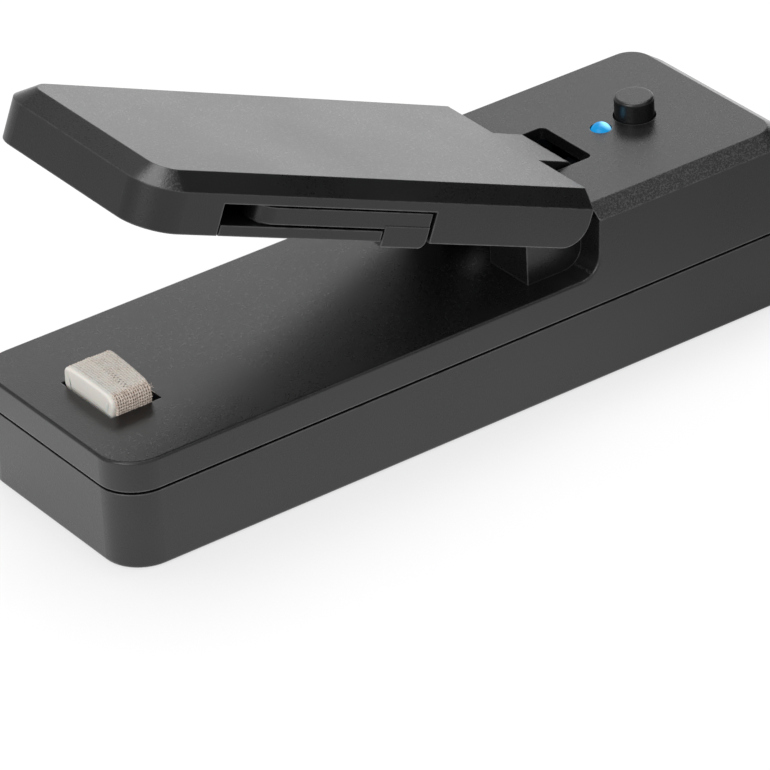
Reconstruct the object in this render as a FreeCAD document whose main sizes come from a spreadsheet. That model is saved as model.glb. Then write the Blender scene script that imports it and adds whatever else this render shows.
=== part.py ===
import FreeCAD, Part
import math
import os
import re

import Sketcher

Vector = FreeCAD.Vector

# Handheld rechargeable heat sealer for food bags, with a swing-out film cutter in its pressing arm.
# X runs along the case towards the hinge, Y across it and Z up. The origin is the middle of the underside.
# The pieces of the arm are drawn with the arm shut and then turned about the hinge to its sprung-open rest.

# Driving sizes, in millimetres and degrees

driving_sizes = {
    # Case
    "body_length": 112.0,
    "body_width": 36.0,
    "corner_radius": 5.6,
    "wall": 1.8,
    "floor_thickness": 1.8,
    "seam_height": 11.4,
    "seam_gap": 0.4,
    "lip_height": 2.0,
    "lip_thickness": 0.8,
    "lip_clearance": 0.1,
    "deck_height": 16.0,
    "foot_round": 0.5,
    "deck_round": 0.4,
    # Rear housing
    "housing_length": 35.1,
    "housing_draft": 0.5,
    "housing_fillet": 3.0,
    "housing_chamfer_drop": 1.7,
    "housing_chamfer_inset": 2.45,
    # Hinge
    "hinge_setback": 4.35,
    "hinge_lift": 0.15,
    "hinge_pin_diameter": 2.5,
    "pin_end": 0.8,
    "press_clearance": 0.02,
    "running_clearance": 0.05,
    "notch_width": 11.2,
    "notch_length": 8.9,
    "notch_reach": 0.2,
    "notch_round": 0.9,
    "cheek_thickness": 2.0,
    "cheek_drop": 5.0,
    "cheek_overrun": 1.4,
    "knuckle_radius": 4.0,
    "knuckle_offset": 1.55,
    "knuckle_clearance": 0.5,
    "spring_slot": 5.6,
    "spring_radius": 2.2,
    "spring_wire": 0.55,
    "spring_pitch": 1.05,
    "spring_leg": 9.0,
    "spring_seat_gap": 0.15,
    "spring_foot_tilt": 2.5,
    # Posts in front of the rear housing
    "post_length": 8.9,
    "post_inset": 4.1,
    "post_wall": 1.5,
    "post_round": 0.6,
    "post_headroom": 1.7,
    # Arm
    "arm_open_angle": 22.1,
    "arm_gap": 3.2,
    "jaw_gap": 2.15,
    "arm_thickness": 7.65,
    "arm_wall": 1.8,
    "arm_roof": 1.8,
    "arm_chamfer_drop": 2.0,
    "arm_chamfer_inset": 2.68,
    "arm_tail_round": 3.8,
    "tongue_length": 6.25,
    "tongue_thickness": 3.5,
    "tongue_root": 4.0,
    "tongue_round": 1.2,
    "base_thickness": 1.45,
    "base_clearance": 0.15,
    "base_setback": 7.7,
    # Film cutter in the arm
    "slot_from_front": 11.8,
    "slot_length": 35.2,
    "slit": 0.3,
    "strip_height": 1.45,
    "lever_clearance": 0.3,
    "lever_thickness": 2.3,
    "lever_inset": 0.12,
    "lever_end_gap": 0.6,
    "lever_pivot_from_front": 20.6,
    "lever_round": 2.6,
    "lever_tail_width": 4.2,
    "tab_length": 7.4,
    "tab_thickness": 1.4,
    "tab_drop": 0.75,
    "tab_gap": 0.35,
    "tab_proud": 0.09,
    "tab_ledge": 0.4,
    "tab_round": 1.2,
    "blade_start": 5.0,
    "blade_inset": 2.0,
    "blade_width": 5.2,
    "blade_thickness": 0.45,
    "blade_grind": 0.36,
    "blade_tip": 3.0,
    "cutter_pin_diameter": 2.0,
    "pivot_boss_diameter": 3.8,
    # Heater
    "heater_from_front": 10.4,
    "window_length": 7.9,
    "window_width": 11.8,
    "block_length": 6.8,
    "block_width": 10.2,
    "block_depth": 6.5,
    "block_crown": 2.25,
    "block_sag": 0.65,
    "block_skew": 0.9,
    "block_flange": 1.2,
    "block_flange_thickness": 1.6,
    "ribbon_width": 1.6,
    "ribbon_thickness": 0.2,
    "layer_gap": 0.04,
    "cloth_thickness": 0.3,
    "cloth_width": 6.4,
    "cloth_tuck": 2.6,
    "pedestal_wall": 1.3,
    "terminal_width": 3.0,
    "terminal_thickness": 0.5,
    "terminal_height": 3.6,
    # Pressing pad in the arm
    "anvil_gap": 0.3,
    "anvil_length": 8.6,
    "anvil_width": 12.8,
    "anvil_thickness": 2.0,
    "anvil_clearance": 0.1,
    "anvil_cup_wall": 1.2,
    "anvil_round": 0.5,
    # Button, switch and indicator
    "button_setback": 20.4,
    "button_diameter": 5.55,
    "button_height": 3.0,
    "button_hole_clearance": 0.2,
    "button_round": 0.45,
    "button_flange": 0.9,
    "button_flange_thickness": 0.8,
    "button_travel": 1.5,
    "button_stem_diameter": 2.4,
    "button_stem_grip": 1.4,
    "button_spring_height": 3.6,
    "button_spring_radius": 2.0,
    "button_spring_wire": 0.35,
    "button_spring_pitch": 1.0,
    "switch_width": 5.8,
    "indicator_setback": 14.6,
    "indicator_diameter": 3.0,
    "indicator_proud": 0.8,
    "indicator_barrel": 3.4,
    "indicator_leg": 0.5,
    "indicator_leg_pitch": 1.27,
    # Circuit board
    "board_front_gap": 0.3,
    "board_thickness": 1.2,
    "board_width": 18.4,
    "board_rear_gap": 0.3,
    "board_screw_inset": 2.6,
    "board_boss_diameter": 4.4,
    "board_boss_gap": 0.6,
    "trigger_length": 3.6,
    "trigger_width": 6.0,
    "trigger_height": 3.6,
    "trigger_side": 3.95,
    "trigger_stem_diameter": 1.8,
    "trigger_stem_grip": 2.0,
    "trigger_gap": 0.1,
    "trigger_travel": 0.6,
    "socket_width": 7.6,
    "socket_height": 2.7,
    "socket_depth": 5.2,
    "socket_wall": 0.3,
    "socket_recess": 1.3,
    "socket_round": 0.9,
    "socket_tongue": 0.6,
    "socket_tongue_width": 3.8,
    "port_clearance": 0.4,
    "chip_height": 1.4,
    "chip_width": 4.2,
    "chip_length": 5.6,
    "chip_setback": 7.0,
    "chip_spread": 0.4,
    # Battery
    "battery_front_gap": 10.6,
    "battery_rear_gap": 13.9,
    "battery_width": 26.0,
    "battery_thickness": 9.6,
    "battery_round": 2.2,
    "battery_pad_inset": 6.0,
    "battery_pad_thickness": 0.8,
    "cradle_clearance": 0.25,
    "cradle_wall": 1.0,
    "cradle_height": 4.0,
    # Leads
    "lead_diameter": 1.1,
    "lead_pad_side": 3.15,
    "lead_bend_share": 0.45,
    # Fasteners
    "case_screw_inset": 6.2,
    "case_screw_side": 5.0,
    "case_boss_diameter": 5.6,
    "case_screw_diameter": 2.2,
    "case_screw_head": 4.2,
    "case_screw_head_height": 1.8,
    "case_screw_length": 9.0,
    "small_screw_diameter": 1.6,
    "small_screw_head": 3.0,
    "small_screw_head_height": 0.8,
    "small_screw_length": 4.6,
    "screw_clearance": 0.2,
    "arm_screw_inset": 5.4,
    "arm_screw_side": 6.4,
    "arm_boss_diameter": 4.2,
    "embed": 0.3,
}

# Places worked out from the driving sizes

places = {
    "front": "-body_length / 2",
    "rear": "body_length / 2",
    "side": "body_width / 2",
    "lower_top": "seam_height - seam_gap / 2",
    "cover_bottom": "seam_height + seam_gap / 2",
    "arm_bottom": "deck_height + jaw_gap",
    "top_height": "arm_bottom + arm_thickness",
    "deck_under": "deck_height - wall",
    "roof_under": "top_height - wall",
    "housing_front": "rear - housing_length",
    "notch_rear": "housing_front + notch_length",
    "hinge_x": "housing_front + hinge_setback",
    "hinge_height": "arm_bottom + hinge_lift",
    "knuckle_width": "notch_width - 2 * knuckle_clearance",
    "knuckle_x": "hinge_x + knuckle_offset * sin(arm_open_angle / 2 * 1deg)",
    "knuckle_z": "hinge_height - knuckle_offset * cos(arm_open_angle / 2 * 1deg)",
    "knuckle_rest_x": "hinge_x - knuckle_offset * sin(arm_open_angle / 2 * 1deg)",
    "post_top": "top_height - arm_roof - post_headroom",
    "arm_rear": "housing_front - arm_gap",
    "arm_roof_under": "top_height - arm_roof",
    "tongue_end": "arm_rear + tongue_length",
    "tongue_under": "top_height - tongue_thickness",
    "base_top": "arm_bottom + base_thickness",
    "base_rear": "arm_rear - base_setback",
    "slot_front": "front + slot_from_front",
    "slot_rear": "slot_front + slot_length",
    "lever_bottom": "arm_bottom + strip_height + lever_clearance",
    "lever_top": "lever_bottom + lever_thickness",
    "slot_top": "lever_top + lever_clearance",
    "lever_end": "slot_rear - lever_end_gap",
    "lever_outer": "lever_inset - side",
    "pivot_x": "front + lever_pivot_from_front",
    "pivot_y": "lever_outer + lever_round",
    "heater_x": "front + heater_from_front",
    "block_bottom": "deck_height - block_depth",
    "crown_z": "deck_height + block_crown",
    "crown_radius": "(block_width * block_width / 4 + block_sag * block_sag) / (2 * block_sag)",
    "ribbon_out": "layer_gap + ribbon_thickness",
    "cloth_in": "ribbon_out + layer_gap",
    "cloth_out": "cloth_in + cloth_thickness",
    "anvil_bottom": "crown_z + cloth_out + anvil_gap",
    "anvil_top": "anvil_bottom + anvil_thickness",
    "button_x": "housing_front + button_setback",
    "button_flange_top": "roof_under - running_clearance",
    "button_flange_bottom": "button_flange_top - button_flange_thickness",
    "switch_top": "button_flange_bottom - button_spring_height",
    "indicator_x": "housing_front + indicator_setback",
    "indicator_bottom": "top_height - indicator_barrel",
    "board_top": "knuckle_z - trigger_height / 2",
    "board_bottom": "board_top - board_thickness",
    "board_front": "notch_rear + cheek_overrun + board_front_gap",
    "board_rear": "rear - wall - board_rear_gap",
    "socket_front": "rear - socket_recess",
    "battery_front": "heater_x + battery_front_gap",
    "battery_rear": "housing_front - battery_rear_gap",
    "battery_length": "battery_rear - battery_front",
    "battery_bottom": "floor_thickness + battery_pad_thickness",
    "case_screw_seat": "case_screw_head_height + screw_clearance",
    "small_screw_recess": "small_screw_head_height + screw_clearance",
}

doc = FreeCAD.newDocument("bag_sealer")
sizes = doc.addObject("Spreadsheet::Sheet", "sizes")
for row, (alias, number) in enumerate(driving_sizes.items(), start=1):
    sizes.set(f"A{row}", alias)
    sizes.set(f"B{row}", str(number))
    sizes.setAlias(f"B{row}", alias)
doc.recompute()


def bound(text):
    """Expression text with each place written out and each size read from the sheet."""

    def spell(match):
        word = match.group(0)
        if word in places:
            return "(" + bound(places[word]) + ")"
        return "sizes." + word if word in driving_sizes else word

    return re.sub(r"[a-z_]+", spell, text)


def value(text):
    """The number that an expression has now."""
    return float(sizes.evalExpression(bound(text)))


# Sketches and features of a body

ORIGIN = (-1, 1)


def new_body(label):
    body = doc.addObject("PartDesign::Body", label)
    body.Label = label
    return body


def new_sketch(body, name, plane, lift):
    sketch = body.newObject("Sketcher::SketchObject", f"{body.Name}_{name}")
    support = [item for item in body.Origin.OriginFeatures if item.Role == plane][0]
    sketch.AttachmentSupport = [(support, "")]
    sketch.MapMode = "FlatFace"
    sketch.setExpression("AttachmentOffset.Base.z", bound(lift))
    return sketch


def measure(sketch, kind, *references, text):
    """Adds one dimension to a sketch and ties it to the sheet."""
    index = sketch.addConstraint(Sketcher.Constraint(kind, *references, value(text)))
    sketch.setExpression(f"Constraints[{index}]", bound(text))


def add_polygon(sketch, corners):
    """A closed outline of straight lines through corners given as pairs of expressions."""
    points = [Vector(value(across), value(along), 0) for across, along in corners]
    first = sketch.GeometryCount
    count = len(points)
    for index, point in enumerate(points):
        sketch.addGeometry(Part.LineSegment(point, points[(index + 1) % count]), False)
    for index in range(count):
        following = first + (index + 1) % count
        sketch.addConstraint(Sketcher.Constraint("Coincident", first + index, 2, following, 1))
    for index, (across, along) in enumerate(corners):
        measure(sketch, "DistanceX", *ORIGIN, first + index, 1, text=across)
        measure(sketch, "DistanceY", *ORIGIN, first + index, 1, text=along)


def add_rectangle(sketch, low, high, left, right):
    """A rectangle from low to high across the sketch and from left to right along it."""
    add_polygon(sketch, ((low, left), (high, left), (high, right), (low, right)))


def add_rounded(sketch, low, high, left, right, radius):
    """A rectangle with four equal round corners."""
    x_low, x_high, y_low, y_high, bend = (value(text) for text in (low, high, left, right, radius))
    turns = (
        (Vector(x_high - bend, y_low + bend, 0), -90),
        (Vector(x_high - bend, y_high - bend, 0), 0),
        (Vector(x_low + bend, y_high - bend, 0), 90),
        (Vector(x_low + bend, y_low + bend, 0), 180),
    )
    arcs = []
    for centre, start in turns:
        circle = Part.Circle(centre, Vector(0, 0, 1), bend)
        arcs.append(Part.ArcOfCircle(circle, math.radians(start), math.radians(start + 90)))
    first = sketch.GeometryCount
    for index, arc in enumerate(arcs):
        before = arcs[index - 1]
        sketch.addGeometry(Part.LineSegment(before.EndPoint, arc.StartPoint), False)
        sketch.addGeometry(arc, False)
    bottom, right_side, top, left_side = (first + 2 * index for index in range(4))
    for index in range(8):
        following = first + (index + 1) % 8
        sketch.addConstraint(Sketcher.Constraint("Tangent", first + index, 2, following, 1))
    for line in (bottom, top):
        sketch.addConstraint(Sketcher.Constraint("Horizontal", line))
    for line in (right_side, left_side):
        sketch.addConstraint(Sketcher.Constraint("Vertical", line))
    for arc in (right_side + 1, top + 1, left_side + 1):
        sketch.addConstraint(Sketcher.Constraint("Equal", bottom + 1, arc))
    measure(sketch, "DistanceX", *ORIGIN, right_side, 1, text=high)
    measure(sketch, "DistanceX", *ORIGIN, left_side, 1, text=low)
    measure(sketch, "DistanceY", *ORIGIN, bottom, 1, text=left)
    measure(sketch, "DistanceY", *ORIGIN, top, 1, text=right)
    measure(sketch, "Radius", bottom + 1, text=radius)


def add_circle(sketch, across, along, diameter):
    centre = Vector(value(across), value(along), 0)
    index = sketch.addGeometry(Part.Circle(centre, Vector(0, 0, 1), value(diameter) / 2), False)
    measure(sketch, "DistanceX", *ORIGIN, index, 3, text=across)
    measure(sketch, "DistanceY", *ORIGIN, index, 3, text=along)
    measure(sketch, "Diameter", index, text=diameter)


def extrude(body, sketch, kind, length, symmetric, backwards):
    before = 0.0 if body.Tip is None else body.Shape.Volume
    feature = body.newObject(f"PartDesign::{kind}", f"{sketch.Name}_{kind.lower()}")
    feature.Profile = sketch
    feature.setExpression("Length", bound(length))
    feature.SideType = "Symmetric" if symmetric else "One side"
    feature.Reversed = backwards
    body.Tip = feature
    doc.recompute()
    change = body.Shape.Volume - before
    if (change > 0) != (kind == "Pad"):
        raise RuntimeError(f"{feature.Name} changed nothing")


def pad(body, sketch, length, symmetric=False, backwards=False):
    extrude(body, sketch, "Pad", length, symmetric, backwards)


def pocket(body, sketch, length, symmetric=False, backwards=False):
    extrude(body, sketch, "Pocket", length, symmetric, backwards)


def edge_names(body, wanted):
    return [f"Edge{index}" for index, edge in enumerate(body.Shape.Edges, start=1) if wanted(edge.BoundBox)]


def near(number, text):
    return abs(number - value(text)) < 1e-4


def is_upright(box):
    return box.XLength < 1e-6 and box.YLength < 1e-6


def round_off(body, name, radius, wanted):
    base = body.Tip
    names = edge_names(body, wanted)
    fillet = body.newObject("PartDesign::Fillet", f"{body.Name}_{name}")
    fillet.Base = (base, names)
    fillet.setExpression("Radius", bound(radius))
    body.Tip = fillet
    doc.recompute()


def bevel(body, name, drop, inset, wanted, face_height, face_side):
    """A chamfer that goes drop down and inset in along a chain of top edges."""
    base = body.Tip
    names = edge_names(body, wanted)
    chamfer = body.newObject("PartDesign::Chamfer", f"{body.Name}_{name}")
    chamfer.Base = (base, names)
    chamfer.ChamferType = "Two distances"
    chamfer.setExpression("Size", bound(inset))
    chamfer.setExpression("Size2", bound(drop))
    body.Tip = chamfer
    doc.recompute()
    tops = [face.BoundBox.YMax for face in body.Shape.Faces if near(face.BoundBox.ZMin, face_height)]
    if not any(near(reach, face_side) for reach in tops):
        chamfer.FlipDirection = True
        doc.recompute()


# Part primitives

def place(item, across, along, up):
    for axis, text in zip("xyz", (across, along, up)):
        item.setExpression(f"Placement.Base.{axis}", bound(text))


def block(name, across, along, up, length, width, height):
    """A box given by its low corner and its extents."""
    item = doc.addObject("Part::Box", name)
    item.setExpression("Length", bound(length))
    item.setExpression("Width", bound(width))
    item.setExpression("Height", bound(height))
    place(item, across, along, up)
    return item


def rod(name, across, along, up, diameter, height, lying=False):
    """A cylinder that stands on a point, or lies from it along X."""
    item = doc.addObject("Part::Cylinder", name)
    item.setExpression("Radius", bound(f"({diameter}) / 2"))
    item.setExpression("Height", bound(height))
    if lying:
        item.Placement = FreeCAD.Placement(Vector(), FreeCAD.Rotation(Vector(0, 1, 0), 90))
    place(item, across, along, up)
    return item


def joined(name, items, kind="Part::MultiFuse"):
    item = doc.addObject(kind, name)
    if kind == "Part::Compound":
        item.Links = items
    else:
        item.Shapes = items
    return item


def cut(name, base, tool):
    item = doc.addObject("Part::Cut", name)
    item.Base = base
    item.Tool = tool
    return item


def screw(name, across, along, head_low, head, head_height, shank, length):
    """A screw with its head down and its shank pointing up."""
    cap = rod(f"{name}_head", across, along, head_low, head, head_height)
    stem = rod(f"{name}_shank", across, along, f"{head_low} + {head_height} - embed", shank,
               f"{length} + embed")
    return joined(name, [cap, stem])


def solid_of(label, shape):
    item = doc.addObject("Part::Feature", label)
    item.Label = label
    item.Shape = shape
    return item


# Tubes along lines and arcs

def arc_through(start, direction, end):
    """The arc from start to end that leaves start along direction."""
    chord = end - start
    normal = direction.cross(chord)
    if normal.Length < 1e-9 * chord.Length:
        return Part.LineSegment(start, end).toShape()
    inward = normal.cross(direction)
    inward.normalize()
    radius = chord.Length ** 2 / (2 * chord.dot(inward))
    centre = start + inward * radius
    outward = (start + end) * 0.5 - centre
    outward.normalize()
    return Part.Arc(start, centre + outward * abs(radius), end).toShape()


def biarc(start, leaving, end, arriving):
    """Two arcs with a common tangent, from start along leaving to end along arriving."""
    span = end - start
    both = leaving + arriving
    bend = 2 * (1 - leaving.dot(arriving))
    along = span.dot(both)
    reach = (math.sqrt(along ** 2 + bend * span.dot(span)) - along) / bend
    middle = (start + leaving * reach + end - arriving * reach) * 0.5
    first = arc_through(start, leaving, middle)
    second = arc_through(end, -arriving, middle)
    return [first, second]


def tube(path, diameter):
    """A round solid along a path, compared with its section times its length."""
    start = path.OrderedEdges[0]
    point = start.valueAt(start.FirstParameter)
    heading = start.tangentAt(start.FirstParameter)
    if point.distanceToPoint(path.OrderedVertexes[0].Point) > 1e-6:
        point = start.valueAt(start.LastParameter)
        heading = start.tangentAt(start.LastParameter)
    ring = Part.Wire([Part.makeCircle(diameter / 2, point, heading)])
    solid = path.makePipeShell([ring], True, False)
    expected = math.pi * diameter ** 2 / 4 * path.Length
    if abs(solid.Volume - expected) > 0.02 * expected:
        raise RuntimeError("a tube differs from its section times its length")
    return solid


def coil_path(place_at, turn_start, turn_end, quarter_turns, lead_in, lead_out):
    """A helix as biarcs of a quarter turn each, with straight ends.

    place_at gives a point and its heading for an angle along the turns.
    """
    step = (turn_end - turn_start) / quarter_turns
    stops = [place_at(turn_start + step * index) for index in range(quarter_turns + 1)]
    edges = []
    first_point, first_heading = stops[0]
    last_point, last_heading = stops[-1]
    if lead_in:
        edges.append(Part.LineSegment(first_point - first_heading * lead_in, first_point).toShape())
    for (start, leaving), (end, arriving) in zip(stops, stops[1:]):
        edges += biarc(start, leaving, end, arriving)
    if lead_out:
        edges.append(Part.LineSegment(last_point, last_point + last_heading * lead_out).toShape())
    return Part.Wire(Part.__sortEdges__(edges))


def coil_gap(place_at, turn_start, turn_end, wire):
    """The least gap between points a turn apart on a coil, measured on points."""
    count = 48
    turns = (turn_end - turn_start) / (2 * math.pi)
    total = int(count * abs(turns))
    step = (turn_end - turn_start) / total
    points = [place_at(turn_start + step * index)[0] for index in range(total + 1)]
    far = count // 2
    gaps = [
        first.distanceToPoint(second) - wire
        for index, first in enumerate(points)
        for second in points[index + far:]
    ]
    return min(gaps)


def routed(points, diameter):
    """A lead through points, with the largest arcs that its runs allow."""
    edges = []
    at = points[0]
    for before, corner, after in zip(points, points[1:], points[2:]):
        back = before - corner
        ahead = after - corner
        run = min(back.Length, ahead.Length)
        back.normalize()
        ahead.normalize()
        half_turn = (math.pi - back.getAngle(ahead)) / 2
        reach = value("lead_bend_share") * run
        radius = reach / math.tan(half_turn)
        middle_line = back + ahead
        middle_line.normalize()
        centre = corner + middle_line * (radius / math.cos(half_turn))
        entry = corner + back * reach
        leave = corner + ahead * reach
        edges.append(Part.LineSegment(at, entry).toShape())
        edges.append(Part.Arc(entry, centre - middle_line * radius, leave).toShape())
        at = leave
    edges.append(Part.LineSegment(at, points[-1]).toShape())
    return tube(Part.Wire(edges), diameter)


# Sub-parts that are written out, by label

sub_parts = []


def keep(item, label=None):
    if label:
        item.Label = label
    sub_parts.append(item)
    return item


def keep_on_arm(item, label=None):
    """Turns a piece that is drawn with the arm shut to the arm's open rest."""
    item.Placement = FreeCAD.Placement(Vector(), FreeCAD.Rotation(Vector(0, 1, 0), value("arm_open_angle")))
    item.setExpression("Placement.Rotation.Angle", bound("arm_open_angle"))
    turn_cos = "cos(arm_open_angle * 1deg)"
    turn_sin = "sin(arm_open_angle * 1deg)"
    place(item, f"hinge_x - hinge_x * {turn_cos} - hinge_height * {turn_sin}", "0",
          f"hinge_height + hinge_x * {turn_sin} - hinge_height * {turn_cos}")
    return keep(item, label)


case_screw_places = [(end, f"{hand} * (side - case_screw_side)")
                     for end in ("(front + case_screw_inset)", "(rear - case_screw_inset)")
                     for hand in ("-1", "1")]
arm_screw_places = [(end, f"{hand} * (side - arm_screw_side)")
                    for end in ("(front + arm_screw_inset)", "(base_rear - arm_screw_inset)")
                    for hand in ("-1", "1")]
board_screw_ends = ("(board_front + trigger_length + board_screw_inset)", "(board_rear - board_screw_inset)")
board_screw_places = [(end, f"{hand} * (socket_width / 2 + board_boss_gap + board_boss_diameter / 2)")
                      for end in board_screw_ends
                      for hand in ("-1", "1")]


# Lower case: tray with a lip, screw pillars, battery cradle and heater pedestal

def make_lower_case():
    body = new_body("lower_case")
    outline = new_sketch(body, "outline", "XY_Plane", "0")
    add_rounded(outline, "front", "rear", "-side", "side", "corner_radius")
    pad(body, outline, "lower_top")
    round_off(body, "foot", "foot_round", lambda box: box.ZMax < 1e-6)
    inside = new_sketch(body, "inside", "XY_Plane", "lower_top")
    add_rounded(inside, "front + wall", "rear - wall", "wall - side", "side - wall", "corner_radius - wall")
    pocket(body, inside, "lower_top - floor_thickness")
    lip = new_sketch(body, "lip", "XY_Plane", "lower_top")
    add_rounded(lip, "front + wall - lip_thickness", "rear - wall + lip_thickness",
                "wall - lip_thickness - side", "side - wall + lip_thickness",
                "corner_radius - wall + lip_thickness")
    add_rounded(lip, "front + wall", "rear - wall", "wall - side", "side - wall", "corner_radius - wall")
    pad(body, lip, "lip_height")
    pillars = new_sketch(body, "pillars", "XY_Plane", "floor_thickness - embed")
    for across, along in case_screw_places:
        add_circle(pillars, across, along, "case_boss_diameter")
    pad(body, pillars, "lower_top - floor_thickness + embed")
    bores = new_sketch(body, "bores", "XY_Plane", "lower_top")
    for across, along in case_screw_places:
        add_circle(bores, across, along, "case_screw_diameter + 2 * screw_clearance")
    pocket(body, bores, "lower_top")
    sinks = new_sketch(body, "sinks", "XY_Plane", "0")
    for across, along in case_screw_places:
        add_circle(sinks, across, along, "case_screw_head + 2 * screw_clearance")
    pocket(body, sinks, "case_screw_seat", backwards=True)
    cradle = new_sketch(body, "cradle", "XY_Plane", "floor_thickness - embed")
    spread = "battery_width / 2 + cradle_clearance"
    add_rectangle(cradle, "battery_front - cradle_clearance - cradle_wall",
                  "battery_rear + cradle_clearance + cradle_wall",
                  f"-({spread} + cradle_wall)", f"{spread} + cradle_wall")
    add_rectangle(cradle, "battery_front - cradle_clearance", "battery_rear + cradle_clearance",
                  f"-({spread})", spread)
    pad(body, cradle, "cradle_height + embed")
    pedestal = new_sketch(body, "pedestal", "XY_Plane", "floor_thickness - embed")
    half = "block_length / 2 + block_flange"
    add_rectangle(pedestal, f"heater_x - ({half})", f"heater_x + {half}",
                  "-block_width / 2", "block_width / 2")
    add_rectangle(pedestal, f"heater_x - ({half} - pedestal_wall)", f"heater_x + {half} - pedestal_wall",
                  "pedestal_wall - block_width / 2", "block_width / 2 - pedestal_wall")
    pad(body, pedestal, "block_bottom - floor_thickness + embed")
    return keep(body)


# Upper cover: deck, rear housing, hinge cheeks and posts

def make_upper_cover():
    body = new_body("upper_cover")
    profile = new_sketch(body, "profile", "XZ_Plane", "0")
    add_polygon(profile, (
        ("front", "cover_bottom"), ("rear", "cover_bottom"), ("rear", "top_height"),
        ("housing_front + housing_draft", "top_height"), ("housing_front", "deck_height"),
        ("front", "deck_height")))
    pad(body, profile, "body_width", symmetric=True)
    round_off(body, "corners", "corner_radius",
              lambda box: is_upright(box) and (near(box.XMin, "front") or near(box.XMin, "rear")))
    round_off(body, "sweep", "housing_fillet",
              lambda box: box.XLength < 1e-6 and near(box.XMin, "housing_front") and box.YLength > 1)
    bevel(body, "chamfer", "housing_chamfer_drop", "housing_chamfer_inset",
          lambda box: near(box.XMin, "rear") and near(box.ZMin, "top_height") and box.XLength < 1e-6,
          "top_height", "side - housing_chamfer_inset")
    round_off(body, "deck_edge", "deck_round",
              lambda box: near(box.ZMin, "deck_height") and near(box.XMin, "front") and box.XLength < 1e-6
              and box.ZLength < 1e-6)
    inside = new_sketch(body, "inside", "XY_Plane", "cover_bottom")
    add_rounded(inside, "front + wall", "rear - wall", "wall - side", "side - wall", "corner_radius - wall")
    pocket(body, inside, "deck_under - cover_bottom", backwards=True)
    attic = new_sketch(body, "attic", "XY_Plane", "deck_under")
    add_rounded(attic, "housing_front + housing_draft + wall", "rear - wall", "wall - side", "side - wall",
                "corner_radius - wall")
    pocket(body, attic, "roof_under - deck_under", backwards=True)
    rebate = new_sketch(body, "rebate", "XY_Plane", "cover_bottom")
    skin = "(wall - lip_thickness - lip_clearance)"
    add_rounded(rebate, f"front + {skin}", f"rear - {skin}", f"{skin} - side", f"side - {skin}",
                f"corner_radius - {skin}")
    pocket(body, rebate, "lip_height - seam_gap", backwards=True)
    posts = new_sketch(body, "posts", "XY_Plane", "deck_under")
    for hand in ("-1", "1"):
        add_rectangle(posts, "housing_front - post_length", "housing_front + wall",
                      f"{hand} * notch_width / 2", f"{hand} * (side - post_inset)")
    pad(body, posts, "post_top - deck_under")
    round_off(body, "post_edges", "post_round",
              lambda box: near(box.ZMax, "post_top") and near(box.XMin, "housing_front - post_length")
              and box.XLength < 1e-6 and box.YLength > 1)
    hollows = new_sketch(body, "hollows", "XY_Plane", "deck_under")
    for hand in ("-1", "1"):
        add_rectangle(hollows, "housing_front - post_length + post_wall", "housing_front - post_wall",
                      f"{hand} * (notch_width / 2 + post_wall)", f"{hand} * (side - post_inset - post_wall)")
    pocket(body, hollows, "post_top - post_wall - deck_under", backwards=True)
    cheeks = new_sketch(body, "cheeks", "XY_Plane", "hinge_height - cheek_drop")
    for hand in ("-1", "1"):
        add_rectangle(cheeks, "housing_front", "notch_rear + cheek_overrun",
                      f"{hand} * notch_width / 2", f"{hand} * (notch_width / 2 + cheek_thickness)")
    pad(body, cheeks, "roof_under + embed - hinge_height + cheek_drop")
    notch = new_sketch(body, "notch", "XY_Plane", "top_height")
    add_rectangle(notch, "housing_front - housing_fillet - notch_reach", "notch_rear",
                  "-notch_width / 2", "notch_width / 2")
    pocket(body, notch, "top_height - cover_bottom")
    round_off(body, "notch_corners", "notch_round",
              lambda box: is_upright(box) and near(box.XMin, "notch_rear")
              and near(abs(box.YMin), "notch_width / 2") and near(box.ZMax, "top_height"))
    pin_hole = new_sketch(body, "pin_hole", "XZ_Plane", "0")
    add_circle(pin_hole, "hinge_x", "hinge_height", "hinge_pin_diameter + 2 * press_clearance")
    pocket(body, pin_hole, "notch_width + 4 * cheek_thickness", symmetric=True)
    window = new_sketch(body, "window", "XY_Plane", "deck_height")
    add_rectangle(window, "heater_x - window_length / 2", "heater_x + window_length / 2",
                  "-window_width / 2", "window_width / 2")
    pocket(body, window, "wall + embed")
    holes = new_sketch(body, "holes", "XY_Plane", "top_height")
    add_circle(holes, "button_x", "0", "button_diameter + 2 * button_hole_clearance")
    add_circle(holes, "indicator_x", "0", "indicator_diameter + 2 * press_clearance")
    pocket(body, holes, "wall + embed")
    for name, spots, low, high in (
            ("front_bosses", case_screw_places[:2], "lower_top", "deck_under"),
            ("rear_bosses", case_screw_places[2:], "lower_top", "roof_under"),
            ("board_bosses", board_screw_places, "board_top", "roof_under")):
        board = name == "board_bosses"
        outer = "board_boss_diameter" if board else "case_boss_diameter"
        bore = "small_screw_diameter" if board else "case_screw_diameter"
        depth = "small_screw_length" if board else "case_screw_length"
        start = low if board else "case_screw_seat"
        bosses = new_sketch(body, name, "XY_Plane", low)
        pilots = new_sketch(body, f"{name}_pilots", "XY_Plane", low)
        for across, along in spots:
            add_circle(bosses, across, along, outer)
            add_circle(pilots, across, along, f"{bore} + 2 * press_clearance")
        pad(body, bosses, f"{high} + embed - {low}")
        pocket(body, pilots, f"{start} + {depth} + embed - {low}", backwards=True)
    port = new_sketch(body, "port", "YZ_Plane", "rear")
    add_rounded(port, "-(socket_width / 2 + port_clearance)", "socket_width / 2 + port_clearance",
                "board_top - port_clearance", "board_top + socket_height + port_clearance",
                "socket_height / 2")
    pocket(body, port, "wall + embed")
    return keep(body)


# Arm shell: roof, skirts, cutter slot, tongue and hinge knuckles

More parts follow.
